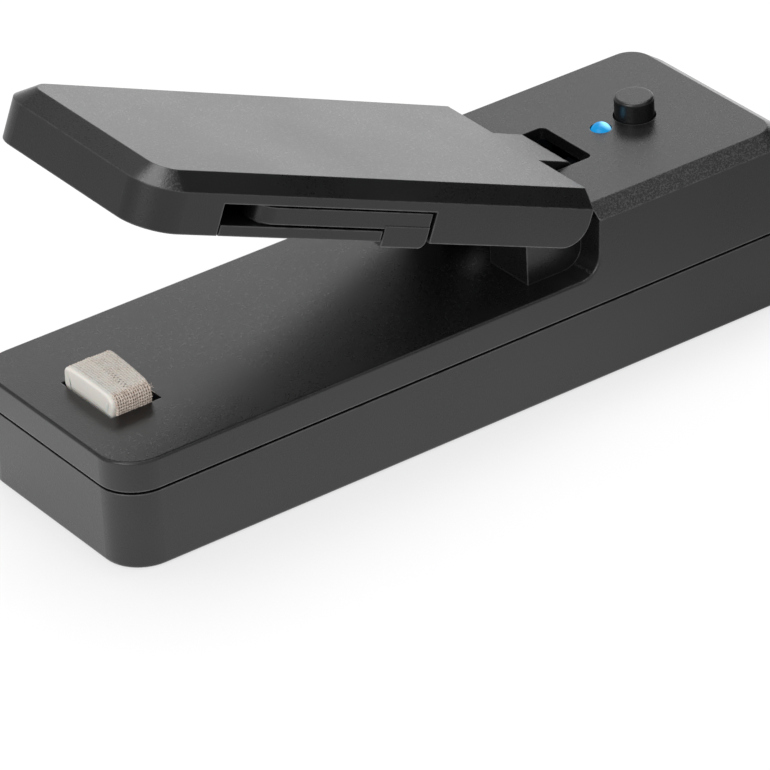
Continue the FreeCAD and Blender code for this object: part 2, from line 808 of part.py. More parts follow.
def make_arm_shell():
    body = new_body("arm_shell")
    profile = new_sketch(body, "profile", "XZ_Plane", "0")
    add_rectangle(profile, "front", "arm_rear", "arm_bottom", "top_height")
    pad(body, profile, "body_width", symmetric=True)
    round_off(body, "corners", "corner_radius", lambda box: is_upright(box) and near(box.XMin, "front"))
    round_off(body, "tail", "arm_tail_round",
              lambda box: near(box.XMin, "arm_rear") and near(box.ZMax, "arm_bottom"))
    bevel(body, "chamfer", "arm_chamfer_drop", "arm_chamfer_inset",
          lambda box: near(box.XMax, "front") and near(box.ZMin, "top_height"),
          "top_height", "side - arm_chamfer_inset")
    inside = new_sketch(body, "inside", "XY_Plane", "arm_bottom")
    add_rounded(inside, "front + arm_wall", "arm_rear + corner_radius", "arm_wall - side", "side - arm_wall",
                "corner_radius - arm_wall")
    pocket(body, inside, "arm_roof_under - arm_bottom", backwards=True)
    tongue = new_sketch(body, "tongue", "XZ_Plane", "0")
    add_polygon(tongue, (
        ("arm_rear - tongue_root", "top_height"), ("tongue_end", "top_height"), ("tongue_end", "knuckle_z"),
        ("knuckle_x - knuckle_radius", "knuckle_z"), ("arm_rear - tongue_root", "tongue_under")))
    pad(body, tongue, "knuckle_width", symmetric=True)
    round_off(body, "tongue_tip", "tongue_round",
              lambda box: near(box.XMin, "tongue_end") and near(box.ZMin, "top_height") and box.YLength > 1)
    knuckle = new_sketch(body, "knuckle", "XZ_Plane", "0")
    add_circle(knuckle, "knuckle_x", "knuckle_z", "2 * knuckle_radius")
    pad(body, knuckle, "knuckle_width", symmetric=True)
    spring_room = new_sketch(body, "spring_room", "XZ_Plane", "0")
    add_rectangle(spring_room, "arm_rear - tongue_root - embed", "knuckle_x + knuckle_radius + embed",
                  "knuckle_z - knuckle_radius - embed", "tongue_under")
    pocket(body, spring_room, "spring_slot", symmetric=True)
    seat = new_sketch(body, "spring_seat", "XZ_Plane", "0")
    seat_low = "hinge_height + spring_radius + spring_wire / 2 + spring_seat_gap"
    add_rectangle(seat, "arm_rear - tongue_root", "arm_rear - tongue_root + 2 * arm_wall", seat_low,
                  "arm_roof_under + embed")
    pad(body, seat, "knuckle_width", symmetric=True)
    bore = new_sketch(body, "bore", "XZ_Plane", "0")
    add_circle(bore, "hinge_x", "hinge_height", "hinge_pin_diameter + 2 * running_clearance")
    pocket(body, bore, "2 * knuckle_width", symmetric=True)
    slot = new_sketch(body, "slot", "XZ_Plane", "side + embed")
    add_rectangle(slot, "slot_front", "slot_rear", "arm_bottom - embed", "slot_top")
    pocket(body, slot, "arm_wall + 2 * embed")
    bosses = new_sketch(body, "bosses", "XY_Plane", "base_top")
    pilots = new_sketch(body, "pilots", "XY_Plane", "base_top")
    for across, along in arm_screw_places:
        add_circle(bosses, across, along, "arm_boss_diameter")
        add_circle(pilots, across, along, "small_screw_diameter + 2 * press_clearance")
    pad(body, bosses, "arm_roof_under + embed - base_top")
    pocket(body, pilots, "small_screw_length + small_screw_recess - base_thickness", backwards=True)
    pivot = new_sketch(body, "pivot", "XY_Plane", "lever_top + running_clearance")
    add_circle(pivot, "pivot_x", "pivot_y", "pivot_boss_diameter")
    pad(body, pivot, "arm_roof_under + embed - lever_top - running_clearance")
    pivot_hole = new_sketch(body, "pivot_hole", "XY_Plane", "lever_top")
    add_circle(pivot_hole, "pivot_x", "pivot_y", "cutter_pin_diameter + 2 * press_clearance")
    pocket(body, pivot_hole, "arm_roof_under - lever_top", backwards=True)
    return keep_on_arm(body)


# Arm base: plate under the arm with the strip below the cutter and the cup of the pressing pad

def make_arm_base():
    body = new_body("arm_base")
    inset = "(arm_wall + base_clearance)"
    outline = new_sketch(body, "outline", "XY_Plane", "arm_bottom")
    add_rounded(outline, f"front + {inset}", "base_rear", f"{inset} - side", f"side - {inset}",
                f"corner_radius - {inset}")
    pad(body, outline, "base_thickness")
    strip = new_sketch(body, "strip", "XY_Plane", "arm_bottom")
    add_rectangle(strip, "slot_front + slit", "lever_end - tab_length - tab_gap", "-side",
                  f"{inset} + embed - side")
    pad(body, strip, "strip_height")
    relief = new_sketch(body, "tab_relief", "XY_Plane", "base_top")
    add_rectangle(relief, "lever_end - tab_length - tab_gap", "slot_rear", "-side",
                  "lever_outer + tab_thickness + tab_gap")
    pocket(body, relief, "base_thickness")
    cup = new_sketch(body, "cup", "XY_Plane", "arm_bottom")
    half_length = "(anvil_length / 2 + anvil_clearance)"
    half_width = "(anvil_width / 2 + anvil_clearance)"
    add_rounded(cup, f"heater_x - {half_length} - anvil_cup_wall",
                f"heater_x + {half_length} + anvil_cup_wall", f"-({half_width} + anvil_cup_wall)",
                f"{half_width} + anvil_cup_wall", "anvil_cup_wall")
    pad(body, cup, "anvil_top + anvil_cup_wall - arm_bottom")
    well = new_sketch(body, "well", "XY_Plane", "arm_bottom")
    add_rectangle(well, f"heater_x - {half_length}", f"heater_x + {half_length}",
                  f"-{half_width}", half_width)
    pocket(body, well, "anvil_top - arm_bottom", backwards=True)
    bores = new_sketch(body, "bores", "XY_Plane", "base_top")
    sinks = new_sketch(body, "sinks", "XY_Plane", "arm_bottom")
    for across, along in arm_screw_places:
        add_circle(bores, across, along, "small_screw_diameter + 2 * screw_clearance")
        add_circle(sinks, across, along, "small_screw_head + 2 * screw_clearance")
    pocket(body, bores, "base_thickness")
    pocket(body, sinks, "small_screw_recess", backwards=True)
    pivot = new_sketch(body, "pivot", "XY_Plane", "arm_bottom")
    add_circle(pivot, "pivot_x", "pivot_y", "pivot_boss_diameter")
    pad(body, pivot, "lever_bottom - running_clearance - arm_bottom")
    pivot_hole = new_sketch(body, "pivot_hole", "XY_Plane", "lever_bottom")
    add_circle(pivot_hole, "pivot_x", "pivot_y", "cutter_pin_diameter + 2 * press_clearance")
    pocket(body, pivot_hole, "lever_bottom - arm_bottom")
    return keep_on_arm(body)


def make_arm_fittings():
    anvil = new_body("anvil_pad")
    outline = new_sketch(anvil, "outline", "XY_Plane", "anvil_bottom")
    add_rounded(outline, "heater_x - anvil_length / 2", "heater_x + anvil_length / 2", "-anvil_width / 2",
                "anvil_width / 2", "anvil_round")
    pad(anvil, outline, "anvil_thickness")
    round_off(anvil, "lip", "anvil_round", lambda box: near(box.ZMax, "anvil_bottom"))
    keep_on_arm(anvil)
    screws = [screw(f"arm_screw_{index}", across, along, "arm_bottom + screw_clearance", "small_screw_head",
                    "small_screw_head_height", "small_screw_diameter", "small_screw_length - embed")
              for index, (across, along) in enumerate(arm_screw_places)]
    keep_on_arm(joined("arm_screws", screws, "Part::Compound"), "arm_screws")
    pin = new_body("cutter_pin")
    shank = new_sketch(pin, "shank", "XY_Plane", "arm_bottom + screw_clearance")
    add_circle(shank, "pivot_x", "pivot_y", "cutter_pin_diameter")
    pad(pin, shank, "arm_roof_under - screw_clearance - arm_bottom - screw_clearance")
    keep_on_arm(pin)


# Film cutter: swinging lever with its finger tab, and the blade let into it

def make_cutter():
    lever = new_body("cutter_lever")
    plate = new_sketch(lever, "plate", "XY_Plane", "lever_bottom")
    add_polygon(plate, (
        ("pivot_x", "lever_outer"), ("lever_end", "lever_outer"),
        ("lever_end", "lever_outer + lever_tail_width"), ("pivot_x", "pivot_y + lever_round")))
    pad(lever, plate, "lever_thickness")
    nose = new_sketch(lever, "nose", "XY_Plane", "lever_bottom")
    add_circle(nose, "pivot_x", "pivot_y", "2 * lever_round")
    pad(lever, nose, "lever_thickness")
    tab = new_sketch(lever, "tab", "XY_Plane", "arm_bottom - tab_drop")
    add_rectangle(tab, "lever_end - tab_length", "lever_end", "lever_outer - tab_proud",
                  "lever_outer + tab_thickness")
    pad(lever, tab, "lever_bottom + tab_ledge + tab_drop - arm_bottom")
    round_off(lever, "tab_corner", "tab_round",
              lambda box: near(box.ZMax, "arm_bottom - tab_drop") and near(box.XMin, "lever_end"))
    hole = new_sketch(lever, "hole", "XY_Plane", "lever_top")
    add_circle(hole, "pivot_x", "pivot_y", "cutter_pin_diameter + 2 * running_clearance")
    pocket(lever, hole, "lever_thickness")
    bed = new_sketch(lever, "bed", "XY_Plane", "lever_top")
    add_rectangle(bed, "pivot_x + blade_start - press_clearance",
                  "lever_end - blade_inset + press_clearance",
                  "lever_outer + blade_inset - press_clearance", "lever_outer + blade_inset + blade_width")
    pocket(lever, bed, "blade_thickness")
    keep_on_arm(lever)
    blade = new_body("cutter_blade")
    outline = new_sketch(blade, "outline", "XY_Plane", "lever_top - blade_thickness")
    inner = "lever_outer + blade_inset + blade_width"
    add_polygon(outline, (
        ("pivot_x + blade_start", "lever_outer + blade_inset"),
        ("lever_end - blade_inset", "lever_outer + blade_inset"),
        ("lever_end - blade_inset", f"{inner} - blade_tip"),
        ("lever_end - blade_inset - blade_tip", inner), ("pivot_x + blade_start", inner)))
    pad(blade, outline, "blade_thickness")
    base = blade.Tip
    grind = blade.newObject("PartDesign::Chamfer", "cutter_blade_grind")
    names = edge_names(blade, lambda box: near(box.YMin, inner) and near(box.ZMin, "lever_top"))
    grind.Base = (base, names)
    grind.setExpression("Size", bound("blade_grind"))
    blade.Tip = grind
    doc.recompute()
    keep_on_arm(blade)


# Hinge pin and return spring

def make_hinge():
    pin = new_body("hinge_pin")
    section = new_sketch(pin, "section", "XZ_Plane", "0")
    add_circle(section, "hinge_x", "hinge_height", "hinge_pin_diameter")
    pad(pin, section, "notch_width + 2 * cheek_thickness + 2 * pin_end", symmetric=True)
    round_off(pin, "ends", "pin_end / 2", lambda box: box.YLength < 1e-6 and box.XLength > 1)
    keep(pin)

    radius = value("spring_radius")
    pitch = value("spring_pitch")
    centre = Vector(value("hinge_x"), 0, value("hinge_height"))
    open_turn = math.radians(value("arm_open_angle"))
    foot_turn = math.radians(value("spring_foot_tilt"))
    full_turns = 3
    upper = math.pi / 2 - open_turn
    lower = -math.pi / 2 - foot_turn - 2 * math.pi * full_turns
    middle = (upper + lower) / 2
    rise = pitch / (2 * math.pi)

    def on_coil(angle):
        outward = Vector(math.cos(angle), 0, math.sin(angle))
        point = centre + outward * radius + Vector(0, (angle - middle) * rise, 0)
        heading = Vector(math.sin(angle), -rise / radius, -math.cos(angle))
        heading.normalize()
        return point, heading

    wire = value("spring_wire")
    quarters = math.ceil((upper - lower) / (math.pi / 2))
    leg = value("spring_leg")
    path = coil_path(on_coil, upper, lower, quarters, leg, leg)
    print(f"return spring: least gap between turns {coil_gap(on_coil, upper, lower, wire):.2f} mm")
    keep(solid_of("return_spring", tube(path, wire)))


# Heater: white block, heating ribbon, glass cloth and terminals

def make_heater():
    body = new_body("heater_block")
    flange = new_sketch(body, "flange", "XY_Plane", "block_bottom")
    half = "block_length / 2 + block_flange"
    add_rectangle(flange, f"heater_x - ({half})", f"heater_x + {half}",
                  "-block_width / 2", "block_width / 2")
    pad(body, flange, "block_flange_thickness")
    column = new_sketch(body, "column", "XY_Plane", "block_bottom")
    add_rectangle(column, "heater_x - block_length / 2", "heater_x + block_length / 2", "-block_width / 2",
                  "block_width / 2")
    pad(body, column, "crown_z - block_sag - block_bottom")
    crown = new_sketch(body, "crown", "YZ_Plane", "heater_x - block_length / 2")
    shoulder = value("crown_z - block_sag")
    reach = value("block_width / 2")
    start = Vector(reach, shoulder, 0)
    end = Vector(-reach, shoulder, 0)
    crown.addGeometry(Part.LineSegment(end, start), False)
    axis_height = value("crown_z - crown_radius")
    circle = Part.Circle(Vector(0, axis_height, 0), Vector(0, 0, 1), value("crown_radius"))
    lean = math.atan2(shoulder - axis_height, reach)
    crown.addGeometry(Part.ArcOfCircle(circle, lean, math.pi - lean), False)
    crown.addConstraint(Sketcher.Constraint("Coincident", 0, 2, 1, 1))
    crown.addConstraint(Sketcher.Constraint("Coincident", 1, 2, 0, 1))
    measure(crown, "DistanceX", *ORIGIN, 0, 1, text="-block_width / 2")
    measure(crown, "DistanceY", *ORIGIN, 0, 1, text="crown_z - block_sag")
    measure(crown, "DistanceX", *ORIGIN, 0, 2, text="block_width / 2")
    measure(crown, "DistanceY", *ORIGIN, 0, 2, text="crown_z - block_sag")
    measure(crown, "Radius", 1, text="crown_radius")
    pad(body, crown, "block_length")
    skew = new_sketch(body, "skew", "XY_Plane", "crown_z + embed")
    add_polygon(skew, (
        ("heater_x + block_length / 2", "block_width / 2"),
        ("heater_x + block_length / 2 - block_skew", "-block_width / 2"),
        ("heater_x + block_length / 2 - block_skew", "-block_width / 2 - embed"),
        ("heater_x + block_length / 2 + embed", "-block_width / 2 - embed"),
        ("heater_x + block_length / 2 + embed", "block_width / 2")))
    pocket(body, skew, "crown_z + embed - block_bottom - block_flange_thickness")
    keep(body)

    def arch(name, low, high, width, foot):
        """A thin strip that follows the crown from low to high above it and runs down both ends."""
        left = f"heater_x - {width} / 2"
        axis_z = "crown_z - crown_radius"
        outer = rod(f"{name}_outer", left, "0", axis_z, f"2 * (crown_radius + {high})", width, lying=True)
        inner = rod(f"{name}_inner", left, "0", axis_z, f"2 * (crown_radius + {low})", width, lying=True)
        bow = cut(f"{name}_bow", outer, inner)
        span = block(f"{name}_span", left, f"-(block_width / 2 + {high})", "crown_z - crown_radius / 2",
                     width, f"block_width + 2 * ({high})", "crown_radius")
        top = doc.addObject("Part::Common", f"{name}_top")
        top.Base = bow
        top.Tool = span
        legs = [block(f"{name}_leg_{hand}", left,
                      f"block_width / 2 + {low}" if hand == "far" else f"-(block_width / 2 + {high})",
                      foot, width, f"{high} - ({low})", f"crown_z - block_sag + {low} - ({foot})")
                for hand in ("near", "far")]
        return joined(name, [top] + legs)

    keep(arch("heating_ribbon", "layer_gap", "ribbon_out", "ribbon_width",
              "block_bottom + terminal_height / 2"), "heating_ribbon")
    keep(arch("heater_cloth", "cloth_in", "cloth_out", "cloth_width", "deck_height - cloth_tuck"),
         "heater_cloth")
    plates = [block(f"terminal_{hand}", "heater_x - terminal_width / 2",
                    "block_width / 2 + ribbon_out + layer_gap" if hand == "far"
                    else "-(block_width / 2 + ribbon_out + layer_gap + terminal_thickness)",
                    "deck_height - cloth_tuck - layer_gap - terminal_height", "terminal_width",
                    "terminal_thickness", "terminal_height")
              for hand in ("near", "far")]
    keep(joined("heater_terminals", plates, "Part::Compound"), "heater_terminals")


# Power button with its switch, spring and indicator

def make_button():
    body = new_body("power_button")
    flange = new_sketch(body, "flange", "XY_Plane", "button_flange_bottom")
    add_circle(flange, "button_x", "0", "button_diameter + 2 * button_flange")
    pad(body, flange, "button_flange_thickness")
    cap = new_sketch(body, "cap", "XY_Plane", "button_flange_bottom")
    add_circle(cap, "button_x", "0", "button_diameter")
    pad(body, cap, "top_height + button_height - button_flange_bottom")
    round_off(body, "crown", "button_round", lambda box: near(box.ZMin, "top_height + button_height"))
    socket = new_sketch(body, "socket", "XY_Plane", "button_flange_bottom")
    add_circle(socket, "button_x", "0", "button_stem_diameter + 2 * press_clearance")
    pocket(body, socket, "button_stem_grip", backwards=True)
    keep(body)

    stem = rod("switch_stem", "button_x", "0", "switch_top - button_travel", "button_stem_diameter",
               "button_flange_bottom + button_stem_grip - switch_top + button_travel")
    keep(stem, "switch_stem")

    switch = new_body("push_switch")
    outline = new_sketch(switch, "outline", "XY_Plane", "board_top")
    add_rounded(outline, "button_x - switch_width / 2", "button_x + switch_width / 2", "-switch_width / 2",
                "switch_width / 2", "button_round")
    pad(switch, outline, "switch_top - board_top")
    well = new_sketch(switch, "well", "XY_Plane", "switch_top")
    add_circle(well, "button_x", "0", "button_stem_diameter + 2 * button_hole_clearance")
    pocket(switch, well, "2 * button_travel + button_hole_clearance")
    keep(switch)

    radius = value("button_spring_radius")
    wire = value("button_spring_wire")
    pitch = value("button_spring_pitch")
    low = value("switch_top + button_spring_wire / 2 + layer_gap")
    high = value("button_flange_bottom - button_spring_wire / 2 - layer_gap")
    turned = 2 * math.pi * (high - low) / pitch
    rise = (high - low) / turned
    centre = Vector(value("button_x"), 0, low)

    def on_coil(angle):
        point = centre + Vector(radius * math.cos(angle), radius * math.sin(angle), angle * rise)
        heading = Vector(-math.sin(angle), math.cos(angle), rise / radius)
        heading.normalize()
        return point, heading

    path = coil_path(on_coil, 0.0, turned, math.ceil(turned / (math.pi / 2)), 0, 0)
    print(f"button spring: least gap between turns {coil_gap(on_coil, 0.0, turned, wire):.2f} mm")
    keep(solid_of("button_spring", tube(path, wire)))

    lens_radius = "indicator_diameter / 2"
    barrel = rod("indicator_barrel_rod", "indicator_x", "0", "indicator_bottom", "indicator_diameter",
                 f"top_height + indicator_proud - {lens_radius} - indicator_bottom")
    dome = doc.addObject("Part::Sphere", "indicator_dome")
    dome.setExpression("Radius", bound(lens_radius))
    place(dome, "indicator_x", "0", f"top_height + indicator_proud - {lens_radius}")
    rim = rod("indicator_rim", "indicator_x", "0", "indicator_bottom",
              "indicator_diameter + 2 * indicator_leg", "2 * indicator_leg")
    keep(joined("indicator_lens", [barrel, dome, rim]), "indicator_lens")
    legs = [block(f"indicator_leg_{hand}", "indicator_x - indicator_leg / 2",
                  f"{sign} * indicator_leg_pitch - indicator_leg / 2", "board_top", "indicator_leg",
                  "indicator_leg", "indicator_bottom - board_top")
            for hand, sign in (("near", "-1"), ("far", "1"))]
    keep(joined("indicator_legs", legs, "Part::Compound"), "indicator_legs")


# Circuit board with the arm's trigger switch, charging socket and chips

def make_board():
    board = new_body("circuit_board")
    outline = new_sketch(board, "outline", "XY_Plane", "board_bottom")
    add_rectangle(outline, "board_front", "board_rear", "-board_width / 2", "board_width / 2")
    for across, along in board_screw_places:
        add_circle(outline, across, along, "small_screw_diameter + 2 * screw_clearance")
    pad(board, outline, "board_thickness")
    keep(board)

    screws = [screw(f"board_screw_{index}", across, along, "board_bottom - small_screw_head_height",
                    "small_screw_head", "small_screw_head_height", "small_screw_diameter",
                    "small_screw_length")
              for index, (across, along) in enumerate(board_screw_places)]
    keep(joined("board_screws", screws, "Part::Compound"), "board_screws")

    trigger = new_body("trigger_switch")
    base = new_sketch(trigger, "base", "XY_Plane", "board_top")
    add_rectangle(base, "board_front", "board_front + trigger_length", "trigger_side - trigger_width / 2",
                  "trigger_side + trigger_width / 2")
    pad(trigger, base, "trigger_height")
    well = new_sketch(trigger, "well", "YZ_Plane", "board_front")
    add_circle(well, "trigger_side", "knuckle_z", "trigger_stem_diameter + 2 * running_clearance")
    pocket(trigger, well, "trigger_stem_grip + trigger_travel + trigger_gap", backwards=True)
    keep(trigger)
    stem_tip = "(knuckle_rest_x + knuckle_radius + trigger_gap)"
    stem = rod("trigger_stem", stem_tip, "trigger_side", "knuckle_z", "trigger_stem_diameter",
               f"board_front + trigger_stem_grip - {stem_tip}", lying=True)
    keep(stem, "trigger_stem")

    socket = new_body("charge_socket")
    shell = new_sketch(socket, "shell", "YZ_Plane", "socket_front")
    add_rounded(shell, "-socket_width / 2", "socket_width / 2", "board_top", "board_top + socket_height",
                "socket_round")
    pad(socket, shell, "socket_depth", backwards=True)
    mouth = new_sketch(socket, "mouth", "YZ_Plane", "socket_front")
    add_rounded(mouth, "socket_wall - socket_width / 2", "socket_width / 2 - socket_wall",
                "board_top + socket_wall", "board_top + socket_height - socket_wall",
                "socket_round - socket_wall")
    pocket(socket, mouth, "socket_depth - 2 * socket_wall")
    tongue = new_sketch(socket, "tongue", "YZ_Plane", "socket_front - socket_depth + socket_wall")
    add_rectangle(tongue, "-socket_tongue_width / 2", "socket_tongue_width / 2",
                  "board_top + socket_height / 2", "board_top + socket_height / 2 + socket_tongue")
    pad(socket, tongue, "socket_depth - 4 * socket_wall")
    keep(socket)

    behind_trigger = "board_front + trigger_length + chip_height"
    before_socket = "board_rear - socket_depth - chip_setback"
    chip_spots = (("charge_chip", behind_trigger, "-chip_width", "chip_length"),
                  ("drive_chip", before_socket, "-chip_width - chip_spread", "chip_width"),
                  ("guard_chip", before_socket, "chip_spread", "chip_width"))
    chips = [block(name, across, along, "board_bottom - chip_height", length, "chip_width", "chip_height")
             for name, across, along, length in chip_spots]
    keep(joined("board_chips", chips, "Part::Compound"), "board_chips")


# Battery on its foam pad

def make_battery():
    cell = new_body("battery_cell")
    section = new_sketch(cell, "section", "YZ_Plane", "battery_front")
    add_rounded(section, "-battery_width / 2", "battery_width / 2", "battery_bottom",
                "battery_bottom + battery_thickness", "battery_round")
    pad(cell, section, "battery_length")
    keep(cell)
    foam = new_body("battery_pad")
    outline = new_sketch(foam, "outline", "XY_Plane", "floor_thickness")
    add_rounded(outline, "battery_front + battery_pad_inset", "battery_rear - battery_pad_inset",
                "battery_pad_inset - battery_width / 2", "battery_width / 2 - battery_pad_inset",
                "battery_round")
    pad(foam, outline, "battery_pad_thickness")
    keep(foam)


# Leads from the battery and from the heater to the underside of the board

def make_leads():
    diameter = value("lead_diameter")
    solder_x = value("board_front") + 2 * diameter
    under_board = value("board_bottom")
    battery_end = value("battery_rear")
    lead_level = value("battery_bottom + battery_thickness / 2")
    for label, side in (("battery_lead_red", 1), ("battery_lead_black", -1)):
        across = side * value("trigger_side")
        pad_across = side * value("lead_pad_side")
        points = [
            Vector(battery_end, across, lead_level),
            Vector(value("hinge_x"), across, lead_level),
            Vector(solder_x, pad_across, lead_level + diameter),
            Vector(solder_x, pad_across, under_board),
        ]
        keep(solid_of(label, routed(points, diameter)))
    terminal = value("block_width / 2 + ribbon_out + layer_gap + terminal_thickness")
    terminal_z = value("deck_height - cloth_tuck - layer_gap - terminal_height / 2")
    heater_x = value("heater_x")
    wall_y = value("side - wall") - diameter
    board_y = value("board_width / 2") - diameter
    for label, side in (("heater_lead_far", 1), ("heater_lead_near", -1)):
        points = [
            Vector(heater_x, side * terminal, terminal_z),
            Vector(heater_x, side * wall_y, terminal_z),
            Vector(value("housing_front"), side * wall_y, terminal_z),
            Vector(solder_x, side * board_y, terminal_z),
            Vector(solder_x, side * board_y, under_board),
        ]
        keep(solid_of(label, routed(points, diameter)))


def make_case_screws():
    screws = [screw(f"case_screw_{index}", across, along, "screw_clearance", "case_screw_head",
                    "case_screw_head_height", "case_screw_diameter", "case_screw_length")
              for index, (across, along) in enumerate(case_screw_places)]
    keep(joined("case_screws", screws, "Part::Compound"), "case_screws")


make_lower_case()
make_upper_cover()
make_arm_shell()
make_arm_base()
make_arm_fittings()
make_cutter()
make_hinge()
make_heater()
make_button()
make_board()
make_battery()
make_leads()
make_case_screws()
doc.recompute()

# Check and write the sub-parts

faults = [item.Name for item in doc.Objects if "Invalid" in item.State or "Error" in item.State]
faults += [item.Label for item in sub_parts if item.Shape.isNull() or not item.Shape.isValid()]
if faults:
    raise RuntimeError("failed objects: " + ", ".join(faults))

os.makedirs("parts", exist_ok=True)
for item in sub_parts:
    item.Shape.exportStep(f"parts/{item.Label}.step")
    print(f"{item.Label}: {len(item.Shape.Solids)} solid, {item.Shape.Volume:.1f} mm3")
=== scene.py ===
"""Looks of a handheld bag sealer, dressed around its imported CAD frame.

All lengths are metres in the CAD frame: X runs from the heated pad to the button, Z is up.
"""

from __future__ import annotations

import logging
import math
from abc import ABC, abstractmethod
from dataclasses import dataclass
from enum import Enum
from functools import cache
from typing import Any, Dict, List, Sequence, Tuple, Union

import bpy
from mathutils import Matrix, Vector

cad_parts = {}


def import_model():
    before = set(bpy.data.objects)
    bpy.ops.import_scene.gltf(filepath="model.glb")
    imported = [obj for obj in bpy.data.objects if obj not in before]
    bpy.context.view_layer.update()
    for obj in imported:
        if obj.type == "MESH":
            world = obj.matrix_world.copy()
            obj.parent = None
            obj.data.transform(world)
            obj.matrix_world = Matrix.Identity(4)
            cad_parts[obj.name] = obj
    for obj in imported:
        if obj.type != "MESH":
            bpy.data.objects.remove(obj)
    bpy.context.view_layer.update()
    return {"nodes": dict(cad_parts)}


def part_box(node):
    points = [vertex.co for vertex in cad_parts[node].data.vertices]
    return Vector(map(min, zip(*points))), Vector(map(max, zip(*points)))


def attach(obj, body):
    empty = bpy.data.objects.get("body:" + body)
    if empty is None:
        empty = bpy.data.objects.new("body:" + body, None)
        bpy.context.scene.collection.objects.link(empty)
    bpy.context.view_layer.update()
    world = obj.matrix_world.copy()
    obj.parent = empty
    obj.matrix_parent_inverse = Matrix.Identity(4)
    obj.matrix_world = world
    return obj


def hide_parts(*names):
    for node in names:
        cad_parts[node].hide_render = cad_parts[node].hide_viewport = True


LOG = logging.getLogger("bag_sealer")
MM = 0.001
FLOAT = "NodeSocketFloat"
VECTOR = "NodeSocketVector"
GEOMETRY = "NodeSocketGeometry"
MATERIAL = "NodeSocketMaterial"
Colour = Tuple[float, float, float, float]
Triple = Tuple[float, float, float]
Span = Tuple[float, float]
Socket = bpy.types.NodeSocket
Feed = Union[float, int, tuple, Socket]
ORIGIN: Triple = (0.0, 0.0, 0.0)
HANDS = (-1, 1)


class Body(Enum):
    """Moving bodies of the frame that new pieces ride on."""

    BASE = "base"
    ARM = "arm"


class Slot(Enum):
    """Material slots that new pieces name when they are settled; nothing reads them."""

    STEEL = "steel"
    CLOTH = "glass_cloth"
    FOAM = "foam"


